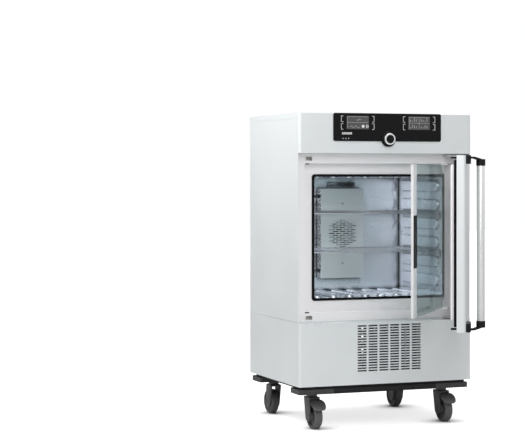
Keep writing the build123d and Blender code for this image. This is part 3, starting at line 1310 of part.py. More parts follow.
def condenser_fan():
    wheel = fan_wheel(COOLING_FAN_DEPTH, COOLING_FAN_RADIUS, COOLING_FAN_BLADES, COOLING_FAN_PITCH)
    return Pos(VENT_OFFSET_X, COOLING_FAN_FRONT, COOLING_FAN_Z) * wheel


def power_inlet():
    """Three-pin power inlet in the rear panel."""
    floor = CABINET_REAR - INLET_DEPTH
    body = from_front(inlet_outline(FORMED_SHEET), floor - FORMED_SHEET, CABINET_REAR)
    flange = from_front(inlet_outline(3 * FORMED_SHEET), CABINET_REAR, CABINET_REAR + FORMED_SHEET)
    inlet = body + flange - from_front(inlet_outline(-FORMED_SHEET), floor, CABINET_REAR + FORMED_SHEET)
    rise = BODY_BOTTOM + INLET_RISE
    for i in (-1, 0, 1):
        x = INLET_X + INLET_PIN_PITCH * i
        z = rise - INLET_PIN_RISE if i else rise + INLET_PIN_RISE
        pin_x = grown((x, x), INLET_PIN_WIDTH / 2)
        inlet += block(pin_x, (floor, floor + INLET_PIN_LENGTH), grown((z, z), INLET_PIN_HEIGHT / 2))
    return inlet


# Turning the drawn pieces to the pose in which the object stands
def turned(solid, x, y, angle):
    """A piece turned about an upright axis."""
    return Pos(x, y, 0) * Rot(0, 0, angle) * Pos(-x, -y, 0) * solid


FIXED = (
    upper_side_panels, lower_side_panels, top_cover, rear_panel, wall_spacers, bottom_tray,
    control_fascia, lower_front_panel, front_frame, latch_strikes, insulation, chamber_liner,
    chamber_gasket, fan_baffle, panel_screws, circulation_fan_motor, circulation_fan, evaporator,
    sensor_guard, control_panel, display_windows, touch_keys, controller_board, knob_boss, knob_shaft,
    knob_cap, knob_ring, door_hinge_plates, glass_door_pivots, glass_door_catches, corner_blocks,
    base_rails, compressor, condenser, condenser_fan_motor, condenser_fan, power_inlet,
)
ON_OUTER_DOOR = (
    door_shell, door_insulation, door_inner_panel, door_gasket, handle_brackets, handle_bar, handle_levers,
)
ON_GLASS_DOOR = (glass_pane, glass_edge_profile, glass_grip, glass_door_fittings)


def all_pieces():
    """Every node of the model by name, in its standing pose."""
    pieces = {piece.__name__: piece() for piece in FIXED}
    for piece in ON_OUTER_DOOR:
        pieces[piece.__name__] = turned(piece(), HINGE_X, HINGE_Y, DOOR_OPEN_ANGLE)
    for piece in ON_GLASS_DOOR:
        pieces[piece.__name__] = turned(piece(), GLASS_PIVOT_X, GLASS_PIVOT_Y, GLASS_OPEN_ANGLE)
    for name, rib_index in SHELF_RIBS.items():
        pieces[name] = shelf(rib_index)
    for corner, (x, y, turn) in CASTORS.items():
        fork = castor_fork(turn)
        if turn < 0:
            fork = with_pedal_pin(fork)
            pieces["brake_pedal_" + corner] = Pos(x, y, 0) * brake_pedal()
        pieces["castor_fork_" + corner] = Pos(x, y, 0) * fork
        pieces["castor_wheel_" + corner] = Pos(x, y + turn * WHEEL_TRAIL, WHEEL_RADIUS) * castor_wheel()
    return pieces


def footprint_centre(pieces):
    """Middle of the model's footprint, at floor level."""
    boxes = [piece.bounding_box() for piece in pieces]
    middle_x = (min(box.min.X for box in boxes) + max(box.max.X for box in boxes)) / 2
    middle_y = (min(box.min.Y for box in boxes) + max(box.max.Y for box in boxes)) / 2
    return middle_x, middle_y, min(box.min.Z for box in boxes)


def main():
    os.makedirs("parts", exist_ok=True)
    pieces = all_pieces()
    middle_x, middle_y, floor = footprint_centre(pieces.values())
    print("footprint centre", round(middle_x, 4), round(middle_y, 4), round(floor, 4))
    for name, piece in pieces.items():
        export_step(Pos(-middle_x, -middle_y, -floor) * piece, "parts/" + name + ".step")


main()
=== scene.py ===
"""Looks of a refrigerated incubator on castors, with its outer door and its inner glass door open.

Metres. X runs to the right and Y to the rear, Z up from the floor, with the origin in the middle of the
footprint. The sections follow the incubator as it is put together, from the castors to the control panel.
"""
import bpy
from math import atan2, pi, radians, sin
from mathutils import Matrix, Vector


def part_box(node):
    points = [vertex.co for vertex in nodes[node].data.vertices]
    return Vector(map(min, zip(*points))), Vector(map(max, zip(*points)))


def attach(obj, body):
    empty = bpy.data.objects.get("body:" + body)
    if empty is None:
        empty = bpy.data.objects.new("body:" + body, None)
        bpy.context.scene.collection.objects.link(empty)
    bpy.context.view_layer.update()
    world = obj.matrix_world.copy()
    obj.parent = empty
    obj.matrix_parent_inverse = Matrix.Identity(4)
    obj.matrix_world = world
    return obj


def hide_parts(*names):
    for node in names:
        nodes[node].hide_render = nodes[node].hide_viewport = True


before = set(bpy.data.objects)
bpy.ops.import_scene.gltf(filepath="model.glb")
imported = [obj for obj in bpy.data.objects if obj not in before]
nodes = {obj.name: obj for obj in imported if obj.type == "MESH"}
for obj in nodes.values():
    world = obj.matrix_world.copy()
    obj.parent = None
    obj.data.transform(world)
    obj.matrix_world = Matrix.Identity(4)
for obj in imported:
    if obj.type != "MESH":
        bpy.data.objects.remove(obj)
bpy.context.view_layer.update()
bpy.ops.object.select_all(action="DESELECT")


# Base rails and corner blocks
# Black powder-coated steel channels and cast blocks that the cabinet stands on.
# The coat has a fine orange-peel skin; the rails are screwed up into the bottom tray.
def grain_group():
    """Cloudy colour, uneven roughness and a fine height pattern, from object coordinates."""
    group = bpy.data.node_groups.new("surface_grain", "ShaderNodeTree")
    sockets = (
        ("Light Colour", "INPUT", "NodeSocketColor"),
        ("Dark Colour", "INPUT", "NodeSocketColor"),
        ("Stretch", "INPUT", "NodeSocketVector"),
        ("Grain Scale", "INPUT", "NodeSocketFloat"),
        ("Cloud Scale", "INPUT", "NodeSocketFloat"),
        ("Smoothest", "INPUT", "NodeSocketFloat"),
        ("Roughest", "INPUT", "NodeSocketFloat"),
        ("Colour", "OUTPUT", "NodeSocketColor"),
        ("Roughness", "OUTPUT", "NodeSocketFloat"),
        ("Height", "OUTPUT", "NodeSocketFloat"),
    )
    for name, way, kind in sockets:
        group.interface.new_socket(name, in_out=way, socket_type=kind)
    add, link = group.nodes.new, group.links.new
    inside, outside = add("NodeGroupInput"), add("NodeGroupOutput")
    place, stretch = add("ShaderNodeTexCoord"), add("ShaderNodeMapping")
    link(place.outputs["Object"], stretch.inputs["Vector"])
    link(inside.outputs["Stretch"], stretch.inputs["Scale"])
    grain, cloud = add("ShaderNodeTexNoise"), add("ShaderNodeTexNoise")
    grain.inputs["Detail"].default_value = 4
    cloud.inputs["Detail"].default_value = 2
    link(stretch.outputs["Vector"], grain.inputs["Vector"])
    link(place.outputs["Object"], cloud.inputs["Vector"])
    link(inside.outputs["Grain Scale"], grain.inputs["Scale"])
    link(inside.outputs["Cloud Scale"], cloud.inputs["Scale"])
    blend, tint = add("ShaderNodeMath"), add("ShaderNodeMix")
    blend.operation = "ADD"
    blend.use_clamp = True
    half = add("ShaderNodeMath")
    half.operation = "MULTIPLY_ADD"
    half.inputs[1].default_value = 0.6
    half.inputs[2].default_value = -0.1
    link(cloud.outputs["Fac"], half.inputs[0])
    link(half.outputs[0], blend.inputs[0])
    share = add("ShaderNodeMath")
    share.operation = "MULTIPLY"
    share.inputs[1].default_value = 0.5
    link(grain.outputs["Fac"], share.inputs[0])
    link(share.outputs[0], blend.inputs[1])
    tint.data_type = "RGBA"
    link(blend.outputs[0], tint.inputs["Factor"])
    link(inside.outputs["Dark Colour"], tint.inputs["A"])
    link(inside.outputs["Light Colour"], tint.inputs["B"])
    spread = add("ShaderNodeMapRange")
    spread.inputs["From Min"].default_value = 0.3
    spread.inputs["From Max"].default_value = 0.7
    link(cloud.outputs["Fac"], spread.inputs["Value"])
    link(inside.outputs["Smoothest"], spread.inputs["To Min"])
    link(inside.outputs["Roughest"], spread.inputs["To Max"])
    link(tint.outputs["Result"], outside.inputs["Colour"])
    link(spread.outputs["Result"], outside.inputs["Roughness"])
    link(grain.outputs["Fac"], outside.inputs["Height"])
    return group


GRAIN = grain_group()


def shade(colour, share):
    """The colour times share, for the darker end of a cloudy tone."""
    return tuple(channel * share for channel in colour)


def finish(
    name, colour, roughness, metallic=0.0, depth=0.00002, grain=900.0,
    stretch=(1, 1, 1), dark=0.9, specular=0.5,
):
    """A material whose colour, roughness and skin come from the surface grain."""
    material = bpy.data.materials.new(name)
    material.use_nodes = True
    tree = material.node_tree
    shader = tree.nodes["Principled BSDF"]
    grains = tree.nodes.new("ShaderNodeGroup")
    grains.node_tree = GRAIN
    grains.inputs["Light Colour"].default_value = (*colour, 1)
    grains.inputs["Dark Colour"].default_value = (*shade(colour, dark), 1)
    grains.inputs["Stretch"].default_value = stretch
    grains.inputs["Grain Scale"].default_value = grain
    grains.inputs["Cloud Scale"].default_value = 5.0
    grains.inputs["Smoothest"].default_value = roughness - 0.04
    grains.inputs["Roughest"].default_value = roughness + 0.06
    bump = tree.nodes.new("ShaderNodeBump")
    bump.inputs["Strength"].default_value = 0.6
    bump.inputs["Distance"].default_value = depth
    tree.links.new(grains.outputs["Height"], bump.inputs["Height"])
    tree.links.new(grains.outputs["Colour"], shader.inputs["Base Color"])
    tree.links.new(grains.outputs["Roughness"], shader.inputs["Roughness"])
    tree.links.new(bump.outputs["Normal"], shader.inputs["Normal"])
    shader.inputs["Metallic"].default_value = metallic
    shader.inputs["Specular IOR Level"].default_value = specular
    return material


def dress(material, *names):
    """Gives the CAD nodes of these names the material."""
    for name in names:
        slots = nodes[name].data.materials
        slots.clear()
        slots.append(material)


BLACK_COAT = finish("black_powder_coat", (0.014, 0.014, 0.015), 0.5, depth=0.0001, grain=1400, specular=0.2)
BLOCK_COAT = finish("cast_block_coat", (0.045, 0.045, 0.046), 0.5, depth=0.0001, grain=1200, specular=0.3)
dress(BLACK_COAT, "base_rails", "bottom_tray")
dress(BLOCK_COAT, "corner_blocks")


# Castors
# Swivel castors with hooded forks, grey rubber tyres on moulded rims, and beaked brake pedals in front.
# Each stem plugs into a corner block and each wheel turns on a steel axle.
FORK_COAT = finish("dark_fork_coat", (0.065, 0.065, 0.067), 0.5, depth=0.0001, grain=1200)
PEDAL_PLASTIC = finish("grey_pedal_plastic", (0.075, 0.075, 0.077), 0.45, depth=0.00008, grain=900)
TYRE_RUBBER = finish("grey_tyre_rubber", (0.105, 0.105, 0.107), 0.62, depth=0.00015, grain=700)
CORNERS = ("front_left", "front_right", "rear_left", "rear_right")
WHEEL_RADIUS = 0.05
FORK_HALF = 0.023
FORK_SLOT_HALF = 0.0175
FORK_LENGTH = 0.058
BRIDGE_LOW = 0.1165
BRIDGE_TOP = 0.1237
LEG_RADIUS = 0.024
LEG_TRAIL = 0.01
BEARING_RADIUS = 0.021
BEARING_TOP = 0.1397
AXLE_TRAIL = 0.026
AXLE_CAP_RADIUS = 0.008
AXLE_CAP_HALF = 0.0245
PEDAL_PIN_LEVEL = 0.11
PEDAL_SECTIONS = (
    (0.006, 0.1095, 0.011, 0.009),
    (-0.012, 0.1105, 0.012, 0.008),
    (-0.03, 0.1135, 0.0145, 0.0075),
    (-0.037, 0.1125, 0.03, 0.0085),
    (-0.05, 0.1075, 0.0345, 0.0085),
    (-0.064, 0.099, 0.035, 0.0075),
    (-0.078, 0.0885, 0.031, 0.006),
    (-0.091, 0.0775, 0.02, 0.004),
)


def modify(piece, kind, **settings):
    """Adds a modifier of that kind, sets it and applies it."""
    modifier = piece.modifiers.new(kind, kind)
    for name, value in settings.items():
        setattr(modifier, name, value)
    bpy.context.view_layer.objects.active = piece
    bpy.ops.object.modifier_apply(modifier=modifier.name)


def unite(piece, other, operation="UNION"):
    """Joins the other solid to the piece, or cuts it out, and removes it."""
    modify(piece, "BOOLEAN", object=other, operation=operation, solver="EXACT")
    bpy.data.objects.remove(other)


def settle(piece, name, material, body):
    """Names and finishes a piece, puts its place into its mesh and lets it ride on its body."""
    bpy.ops.object.select_all(action="DESELECT")
    piece.select_set(True)
    bpy.context.view_layer.objects.active = piece
    bpy.ops.object.transform_apply(location=True, rotation=True, scale=True)
    bpy.ops.object.shade_smooth_by_angle(angle=radians(35))
    piece.name = name
    piece.data.materials.clear()
    piece.data.materials.append(material)
    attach(piece, body)
    piece.select_set(False)
    return piece


def join(pieces):
    """Makes one object of several, with their places in its mesh."""
    bpy.ops.object.select_all(action="DESELECT")
    for piece in pieces:
        piece.select_set(True)
    bpy.context.view_layer.objects.active = pieces[0]
    bpy.ops.object.join()
    bpy.ops.object.transform_apply(location=True, rotation=True, scale=True)
    return pieces[0]


def round_bar(start, end, radius, vertices=40):
    """A round bar from one point to another."""
    start, end = Vector(start), Vector(end)
    turn = (end - start).to_track_quat("Z", "Y").to_euler()
    bpy.ops.mesh.primitive_cylinder_add(
        vertices=vertices,
        radius=radius,
        depth=(end - start).length,
        location=(start + end) / 2,
        rotation=turn,
    )
    return bpy.context.object


def box_block(low, high):
    """A block between two corners."""
    low, high = Vector(low), Vector(high)
    bpy.ops.mesh.primitive_cube_add(size=1, location=(low + high) / 2, scale=high - low)
    return bpy.context.object


def fork_hood(x, y, turn, braked):
    """A hood whose legs reach down beside the wheel, with its bearing, axle caps and pedal pin."""
    leg_y = y + turn * LEG_TRAIL
    leg = round_bar((x - FORK_HALF, leg_y, WHEEL_RADIUS), (x + FORK_HALF, leg_y, WHEEL_RADIUS), LEG_RADIUS)
    half_length = FORK_LENGTH / 2
    bridge_low = (x - FORK_HALF, y - half_length, BRIDGE_LOW)
    bridge_high = (x + FORK_HALF, y + half_length, BRIDGE_TOP)
    hood = box_block(bridge_low, bridge_high)
    hood = join([leg, hood])
    bpy.ops.object.mode_set(mode="EDIT")
    bpy.ops.mesh.select_all(action="SELECT")
    bpy.ops.mesh.convex_hull()
    bpy.ops.mesh.dissolve_limited(angle_limit=radians(2))
    bpy.ops.object.mode_set(mode="OBJECT")
    modify(hood, "BEVEL", width=0.003, segments=3, limit_method="ANGLE", angle_limit=radians(40))
    wheel_room = box_block((x - FORK_SLOT_HALF, y - 0.1, 0), (x + FORK_SLOT_HALF, y + 0.1, BRIDGE_LOW))
    unite(hood, wheel_room, "DIFFERENCE")
    unite(hood, round_bar((x, y, BRIDGE_LOW + 0.003), (x, y, BEARING_TOP), BEARING_RADIUS))
    axle_y = y + turn * AXLE_TRAIL
    for side in (-1, 1):
        start = (x + side * (FORK_HALF - 0.003), axle_y, WHEEL_RADIUS)
        unite(hood, round_bar(start, (x + side * AXLE_CAP_HALF, axle_y, WHEEL_RADIUS), AXLE_CAP_RADIUS))
    if braked:
        pin = (x - FORK_HALF + 0.002, y, PEDAL_PIN_LEVEL), (x + FORK_HALF - 0.002, y, PEDAL_PIN_LEVEL)
        unite(hood, round_bar(*pin, 0.003, vertices=16))
    return hood


def brake_pedal(x, y):
    """A moulded pedal, drawn out section by section from its pin to its beaked tip."""
    first = PEDAL_SECTIONS[0]
    bpy.ops.mesh.primitive_plane_add(
        size=1, location=(x, y + first[0], first[1]), rotation=(radians(90), 0, 0)
    )
    pedal = bpy.context.object
    pedal.scale = (2 * first[2], first[3], 1)
    bpy.ops.object.transform_apply(location=True, rotation=True, scale=True)
    bpy.ops.object.mode_set(mode="EDIT")
    for last, section in zip(PEDAL_SECTIONS, PEDAL_SECTIONS[1:]):
        step = (0, section[0] - last[0], section[1] - last[1])
        bpy.ops.mesh.extrude_region_move(TRANSFORM_OT_translate={"value": step})
        bpy.ops.transform.resize(
            value=(section[2] / last[2], 1, section[3] / last[3]),
            center_override=(x, y + section[0], section[1]),
        )
    bpy.ops.mesh.select_all(action="SELECT")
    bpy.ops.mesh.normals_make_consistent(inside=False)
    bpy.ops.object.mode_set(mode="OBJECT")
    modify(pedal, "SUBSURF", levels=2, render_levels=2)
    return pedal


for corner in CORNERS:
    dress(TYRE_RUBBER, "castor_wheel_" + corner)
    fork_low, fork_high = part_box("castor_fork_" + corner)
    wheel_low, wheel_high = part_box("castor_wheel_" + corner)
    stem_x = (fork_low.x + fork_high.x) / 2
    braked = corner.startswith("front")
    turn = -1 if braked else 1
    stem_y = (wheel_low.y + wheel_high.y) / 2 - turn * AXLE_TRAIL
    hood = fork_hood(stem_x, stem_y, turn, braked)
    settle(hood, "fork_hood_" + corner, FORK_COAT, "castor_fork_" + corner)
    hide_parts("castor_fork_" + corner)
    if braked:
        pedal = brake_pedal(stem_x, stem_y)
        settle(pedal, "pedal_blade_" + corner, PEDAL_PLASTIC, "brake_pedal_" + corner)
        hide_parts("brake_pedal_" + corner)


# Cooling machinery
# Compressor, finned condenser and its fan behind the lower panel, on the bottom tray.
# They show only as dark shapes through the air slots.
MACHINE_COAT = finish("compressor_black", (0.02, 0.02, 0.022), 0.4)
DULL_ALUMINIUM = finish("dull_aluminium", (0.42, 0.43, 0.45), 0.42, metallic=0.8)
DARK_FINS = finish("black_coated_fins", (0.02, 0.02, 0.022), 0.6, specular=0.1)
BLACK_PLASTIC = finish("black_plastic", (0.008, 0.008, 0.009), 0.5, depth=0.00005, specular=0.15)
dress(MACHINE_COAT, "compressor")
dress(DARK_FINS, "condenser", "condenser_fan_motor")
dress(DULL_ALUMINIUM, "circulation_fan_motor", "evaporator")
dress(BLACK_PLASTIC, "condenser_fan", "circulation_fan", "power_inlet")


# Case
# Textured stainless steel sheets, folded at their edges, with a rear wall and two wall stops.
# The sheets are rolled with a fine matt pattern, which softens what they mirror.
CASE_STEEL = finish(
    "textured_stainless", (0.74, 0.77, 0.78), 0.46, metallic=0.35, depth=0.00008, grain=1100, dark=0.95
)
dress(CASE_STEEL, "upper_side_panels", "lower_side_panels", "top_cover", "rear_panel")
dress(CASE_STEEL, "control_fascia", "lower_front_panel", "door_shell", "wall_spacers")


# Insulation
# Rigid foam between the case and the chamber and inside the outer door.
# It is foamed in place and shows nowhere on the finished cabinet.
FOAM = finish("rigid_foam", (0.8, 0.78, 0.72), 0.9, depth=0.0006, grain=300)
dress(FOAM, "insulation", "door_insulation")


# Front frame
# One pressed stainless sheet with the recess that the glass door closes into.
# It is polished bright and almost white under soft light, with the latch strikes behind its slots.
FRAME_STEEL = finish(
    "bright_frame_steel", (0.93, 0.915, 0.93), 0.38, metallic=0.2, depth=0.00004, grain=1500, dark=0.96
)
ZINC = finish("zinc_plated_steel", (0.6, 0.6, 0.61), 0.36, metallic=0.85)
dress(FRAME_STEEL, "front_frame", "door_inner_panel")
dress(ZINC, "door_hinge_plates", "glass_door_pivots", "panel_screws")
STRIKE_PLASTIC = finish("white_strike_plastic", (0.85, 0.85, 0.86), 0.45)
dress(STRIKE_PLASTIC, "latch_strikes")


# Chamber
# Deep-drawn stainless liner with shelf ribs pressed into its walls, and the slotted baffle before the fan.
# The steel is polished, so the ribs mirror in the rear wall.
LINER_STEEL = finish(
    "polished_liner_steel", (0.86, 0.9, 0.97), 0.27, metallic=0.85, depth=0.00002, grain=1500, dark=0.95
)


def shade_corners(material, reach, darkest):
    """Darkens the inner corners of a pressed sheet, where its folds hide from the light."""
    tree = material.node_tree
    shader = tree.nodes["Principled BSDF"]
    colour = shader.inputs["Base Color"].links[0].from_socket
    open_air, ramp, blend = (
        tree.nodes.new("ShaderNodeAmbientOcclusion"),
        tree.nodes.new("ShaderNodeMapRange"),
        tree.nodes.new("ShaderNodeMix"),
    )
    open_air.inputs["Distance"].default_value = reach
    open_air.samples = 8
    ramp.inputs["From Min"].default_value = 0.5
    ramp.inputs["From Max"].default_value = 0.94
    ramp.inputs["To Min"].default_value = darkest
    blend.data_type = "RGBA"
    blend.blend_type = "MULTIPLY"
    blend.inputs["Factor"].default_value = 1.0
    tree.links.new(open_air.outputs["AO"], ramp.inputs["Value"])
    tree.links.new(colour, blend.inputs["A"])
    tree.links.new(ramp.outputs["Result"], blend.inputs["B"])
    tree.links.new(blend.outputs["Result"], shader.inputs["Base Color"])


shade_corners(LINER_STEEL, 0.022, 0.12)
BAFFLE_STEEL = finish(
    "matt_baffle_steel", (0.95, 0.98, 1.0), 0.32, metallic=0.6, depth=0.00003, grain=1400, dark=0.95
)
shade_corners(BAFFLE_STEEL, 0.008, 0.3)


def paint_hole_shade(material, pitch, hole):
    """Paints dark discs on the sides of the sheet that face left: painted shade where the holes of a
    perforated field would show the dark behind them.
    """
    tree = material.node_tree
    shader = tree.nodes["Principled BSDF"]
    colour = shader.inputs["Base Color"].links[0].from_socket
    place, field = tree.nodes.new("ShaderNodeTexCoord"), tree.nodes.new("ShaderNodeTexVoronoi")
    facing, split = tree.nodes.new("ShaderNodeMath"), tree.nodes.new("ShaderNodeSeparateXYZ")
    inside, both = tree.nodes.new("ShaderNodeMath"), tree.nodes.new("ShaderNodeMath")
    field.inputs["Scale"].default_value = 1 / pitch
    facing.operation = "LESS_THAN"
    facing.inputs[1].default_value = -0.7
    inside.operation = "LESS_THAN"
    inside.inputs[1].default_value = hole / pitch
    both.operation = "MULTIPLY"
    blend = tree.nodes.new("ShaderNodeMix")
    blend.data_type = "RGBA"
    # Painted shade: the near-black seen through each hole.
    blend.inputs["B"].default_value = (0.03, 0.03, 0.035, 1)
    tree.links.new(place.outputs["Object"], field.inputs["Vector"])
    tree.links.new(place.outputs["Normal"], split.inputs["Vector"])
    tree.links.new(split.outputs["X"], facing.inputs[0])
    tree.links.new(field.outputs["Distance"], inside.inputs[0])
    tree.links.new(facing.outputs[0], both.inputs[0])
    tree.links.new(inside.outputs[0], both.inputs[1])
    tree.links.new(both.outputs[0], blend.inputs["Factor"])
    tree.links.new(colour, blend.inputs["A"])
    tree.links.new(blend.outputs["Result"], shader.inputs["Base Color"])


paint_hole_shade(BAFFLE_STEEL, 0.008, 0.0034)
dress(LINER_STEEL, "chamber_liner")
dress(BAFFLE_STEEL, "fan_baffle")
BLACK_RUBBER = finish("black_gasket_rubber", (0.005, 0.005, 0.006), 0.6, depth=0.0001, specular=0.08)
dress(BLACK_RUBBER, "chamber_gasket", "door_gasket")
WIRE_STEEL = finish("bright_wire_steel", (0.52, 0.54, 0.57), 0.3, metallic=0.9)
shade_corners(WIRE_STEEL, 0.006, 0.2)
GUARD_STEEL = finish("dark_guard_steel", (0.16, 0.165, 0.18), 0.35, metallic=0.6)
dress(WIRE_STEEL, "upper_shelf", "lower_shelf")
dress(GUARD_STEEL, "sensor_guard")


# Glass door
# A toughened pane that closes on the black gasket, with an aluminium edge profile and a moulded grip.
# It turns on two pins held by clamped fittings.
def pane_glass():
    """Clear float glass with the green tone of its iron, seen through the whole sheet."""
    material = bpy.data.materials.new("green_float_glass")
    material.use_nodes = True
    tree = material.node_tree
    shader = tree.nodes["Principled BSDF"]
    shader.inputs["Metallic"].default_value = 0.0
    shader.inputs["Transmission Weight"].default_value = 1.0
    shader.inputs["IOR"].default_value = 1.1
    shader.inputs["Roughness"].default_value = 0.02
    place, cloud = tree.nodes.new("ShaderNodeTexCoord"), tree.nodes.new("ShaderNodeTexNoise")
    cloud.inputs["Scale"].default_value = 3.0
    ramp = tree.nodes.new("ShaderNodeValToRGB")
    ramp.color_ramp.elements[0].color = (0.58, 0.68, 0.68, 1)
    ramp.color_ramp.elements[1].color = (0.63, 0.73, 0.73, 1)
    tree.links.new(place.outputs["Object"], cloud.inputs["Vector"])
    tree.links.new(cloud.outputs["Fac"], ramp.inputs["Fac"])
    tree.links.new(ramp.outputs["Color"], shader.inputs["Base Color"])
    return material


dress(pane_glass(), "glass_pane")
ANODISED = finish("white_anodised_aluminium", (0.86, 0.87, 0.88), 0.35, metallic=0.4, stretch=(1, 1, 0.05))
dress(ANODISED, "glass_edge_profile", "glass_door_fittings")
dress(BLACK_PLASTIC, "glass_grip", "glass_door_catches")


# Handle
# An extruded aluminium bar between two black moulded brackets, on latch levers that hook into the frame.
BAR_ALUMINIUM = finish("brushed_bar_aluminium", (0.88, 0.89, 0.9), 0.25, metallic=0.8, stretch=(1, 1, 0.03))
dress(BAR_ALUMINIUM, "handle_bar")
dress(BLACK_PLASTIC, "handle_brackets", "handle_levers")


# Control panel
# A glossy black moulding on the fascia, with two display windows, touch keys and a turning knob.
PANEL_GLOSS = finish("gloss_black_panel", (0.006, 0.006, 0.0065), 0.22, depth=0.000005, specular=0.12)
DISPLAY_GREY = finish("display_grey", (0.1, 0.098, 0.098), 0.3, depth=0.000005, specular=0.2)
KNOB_METAL = finish("turned_knob_ring", (0.8, 0.81, 0.82), 0.25, metallic=0.9)
BOARD_GREEN = finish("circuit_board_green", (0.03, 0.18, 0.08), 0.5)
PRINT_GREY = finish("light_grey_print", (0.5, 0.5, 0.5), 0.5)
PRINT_WHITE = finish("white_print", (0.8, 0.8, 0.8), 0.5)
dress(PANEL_GLOSS, "control_panel", "touch_keys", "knob_boss", "knob_cap")
dress(DISPLAY_GREY, "display_windows")
dress(KNOB_METAL, "knob_ring", "knob_shaft")
dress(BOARD_GREEN, "controller_board")
PRINT_DEPTH = 0.0002
KEY_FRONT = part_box("touch_keys")[0].y
WINDOW_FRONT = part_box("display_windows")[0].y
PANEL_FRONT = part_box("control_panel")[0].y


def stroke(start, end, width, front):
    """A straight printed stroke between two points, given by X and Z."""
    length = ((end[0] - start[0]) ** 2 + (end[1] - start[1]) ** 2) ** 0.5
    slope = atan2(end[1] - start[1], end[0] - start[0])
    bpy.ops.mesh.primitive_plane_add(
        size=1,
        location=((start[0] + end[0]) / 2, front, (start[1] + end[1]) / 2),
        rotation=(radians(90), -slope, 0),
    )
    bpy.context.object.scale = (length, width, 1)
    return bpy.context.object


def disc(x, z, radius, front, hole=0.0):
    """A printed disc, or a ring where it has a hole."""
    bpy.ops.mesh.primitive_circle_add(
        vertices=24, radius=radius, fill_type="NGON", location=(x, front, z), rotation=(radians(90), 0, 0)
    )
    if hole:
        bpy.ops.object.mode_set(mode="EDIT")
        bpy.ops.mesh.inset(thickness=radius - hole)
        bpy.ops.mesh.delete(type="FACE")
        bpy.ops.object.mode_set(mode="OBJECT")
    return bpy.context.object


def print_on(name, material, body, strokes):
    """Joins the strokes into one print, gives it the ink's thickness and settles it."""
    piece = join(strokes)
    modify(piece, "SOLIDIFY", thickness=PRINT_DEPTH, offset=1)
    return settle(piece, name, material, body)


BRACKETS_X = ((-0.1899, 1), (-0.063, -1), (0.0773, 1), (0.2028, -1))
BRACKETS_Z = (1.1827, 1.2121)
BRACKET_HALF_WIDTH = 0.0068
BRACKET_HALF_HEIGHT = 0.0122
BRACKET_STROKE = 0.0018
strokes = []
for x, opening in BRACKETS_X:
    for z in BRACKETS_Z:
        spine = x - opening * BRACKET_HALF_WIDTH
        tip = x + opening * BRACKET_HALF_WIDTH * 0.3
        low, high = z - BRACKET_HALF_HEIGHT, z + BRACKET_HALF_HEIGHT
        strokes.append(stroke((spine, low), (spine, high), BRACKET_STROKE, KEY_FRONT))
        for edge in (-1, 1):
            level = z + edge * (BRACKET_HALF_HEIGHT - BRACKET_STROKE / 2)
            strokes.append(stroke((spine, level), (tip, level), BRACKET_STROKE, KEY_FRONT))
print_on("key_brackets", PRINT_WHITE, "cabinet", strokes)

WINDOWS = ((-0.1736, -0.0789), (0.093, 0.1877))
WINDOW_LOW, WINDOW_HIGH = 1.172, 1.224
strokes = []
WINDOW_MIDDLE = (WINDOW_LOW + WINDOW_HIGH) / 2
WINDOW_MARGIN = 0.003
LINE_LOW, LINE_HIGH = WINDOW_LOW + WINDOW_MARGIN, WINDOW_HIGH - WINDOW_MARGIN
THIN_LINE, SIDE_LINE = 0.0012, 0.0014
for left, right in WINDOWS:
    start_x, end_x, side_x = left + WINDOW_MARGIN, right - WINDOW_MARGIN, left + 0.004
    strokes.append(stroke((start_x, WINDOW_MIDDLE), (end_x, WINDOW_MIDDLE), THIN_LINE, WINDOW_FRONT))
    strokes.append(stroke((start_x, LINE_HIGH), (end_x, LINE_HIGH), THIN_LINE, WINDOW_FRONT))
    strokes.append(stroke((side_x, LINE_LOW), (side_x, LINE_HIGH), SIDE_LINE, WINDOW_FRONT))
left, right = WINDOWS[0]
WAVES = 16
for i in range(WAVES):
    reach = (right - left - 0.03) / WAVES
    points = []
    for step in (i, i + 1):
        points.append((left + 0.014 + reach * step, 1.181 + 0.004 * sin(step * 2 * pi / 5)))
    if i < WAVES * 0.6:
        strokes.append(stroke(*points, 0.0014, WINDOW_FRONT))
strokes.append(stroke((left + 0.042, 1.208), (left + 0.062, 1.21), 0.0016, WINDOW_FRONT))
strokes.append(stroke((left + 0.046, 1.204), (left + 0.054, 1.213), 0.0016, WINDOW_FRONT))
left, right = WINDOWS[1]
middle = (left + right) / 2
strokes.append(stroke((middle, LINE_LOW), (middle, LINE_HIGH), THIN_LINE, WINDOW_FRONT))
for column in range(2):
    for row in range(2):
        low_x = left + 0.009 + column * 0.047
        low_z = 1.178 + row * 0.026
        for i in range(4):
            x = low_x + i * 0.0085
            high_z = low_z + 0.004 + 0.0032 * ((i * 3 + column + row) % 4)
            strokes.append(stroke((x, low_z), (x, high_z), 0.0022, WINDOW_FRONT))
print_on("display_traces", PRINT_GREY, "cabinet", strokes)

strokes = []
strokes.append(disc(left - 0.1965, 1.1835, 0.0062, WINDOW_FRONT))
strokes.append(disc(left - 0.1785, 1.1835, 0.0058, WINDOW_FRONT, 0.0028))
print_on("display_dots", PRINT_WHITE, "cabinet", strokes)

strokes = []
for i in range(5):
    x = -0.193 + i * 0.0088
    strokes.append(stroke((x, 1.1555), (x + 0.0062, 1.1555), 0.0085, PANEL_FRONT))
for i in range(3):
    strokes.append(disc(-0.189 + i * 0.012, 1.1355, 0.0019, PANEL_FRONT))
print_on("panel_marks", PRINT_WHITE, "cabinet", strokes)
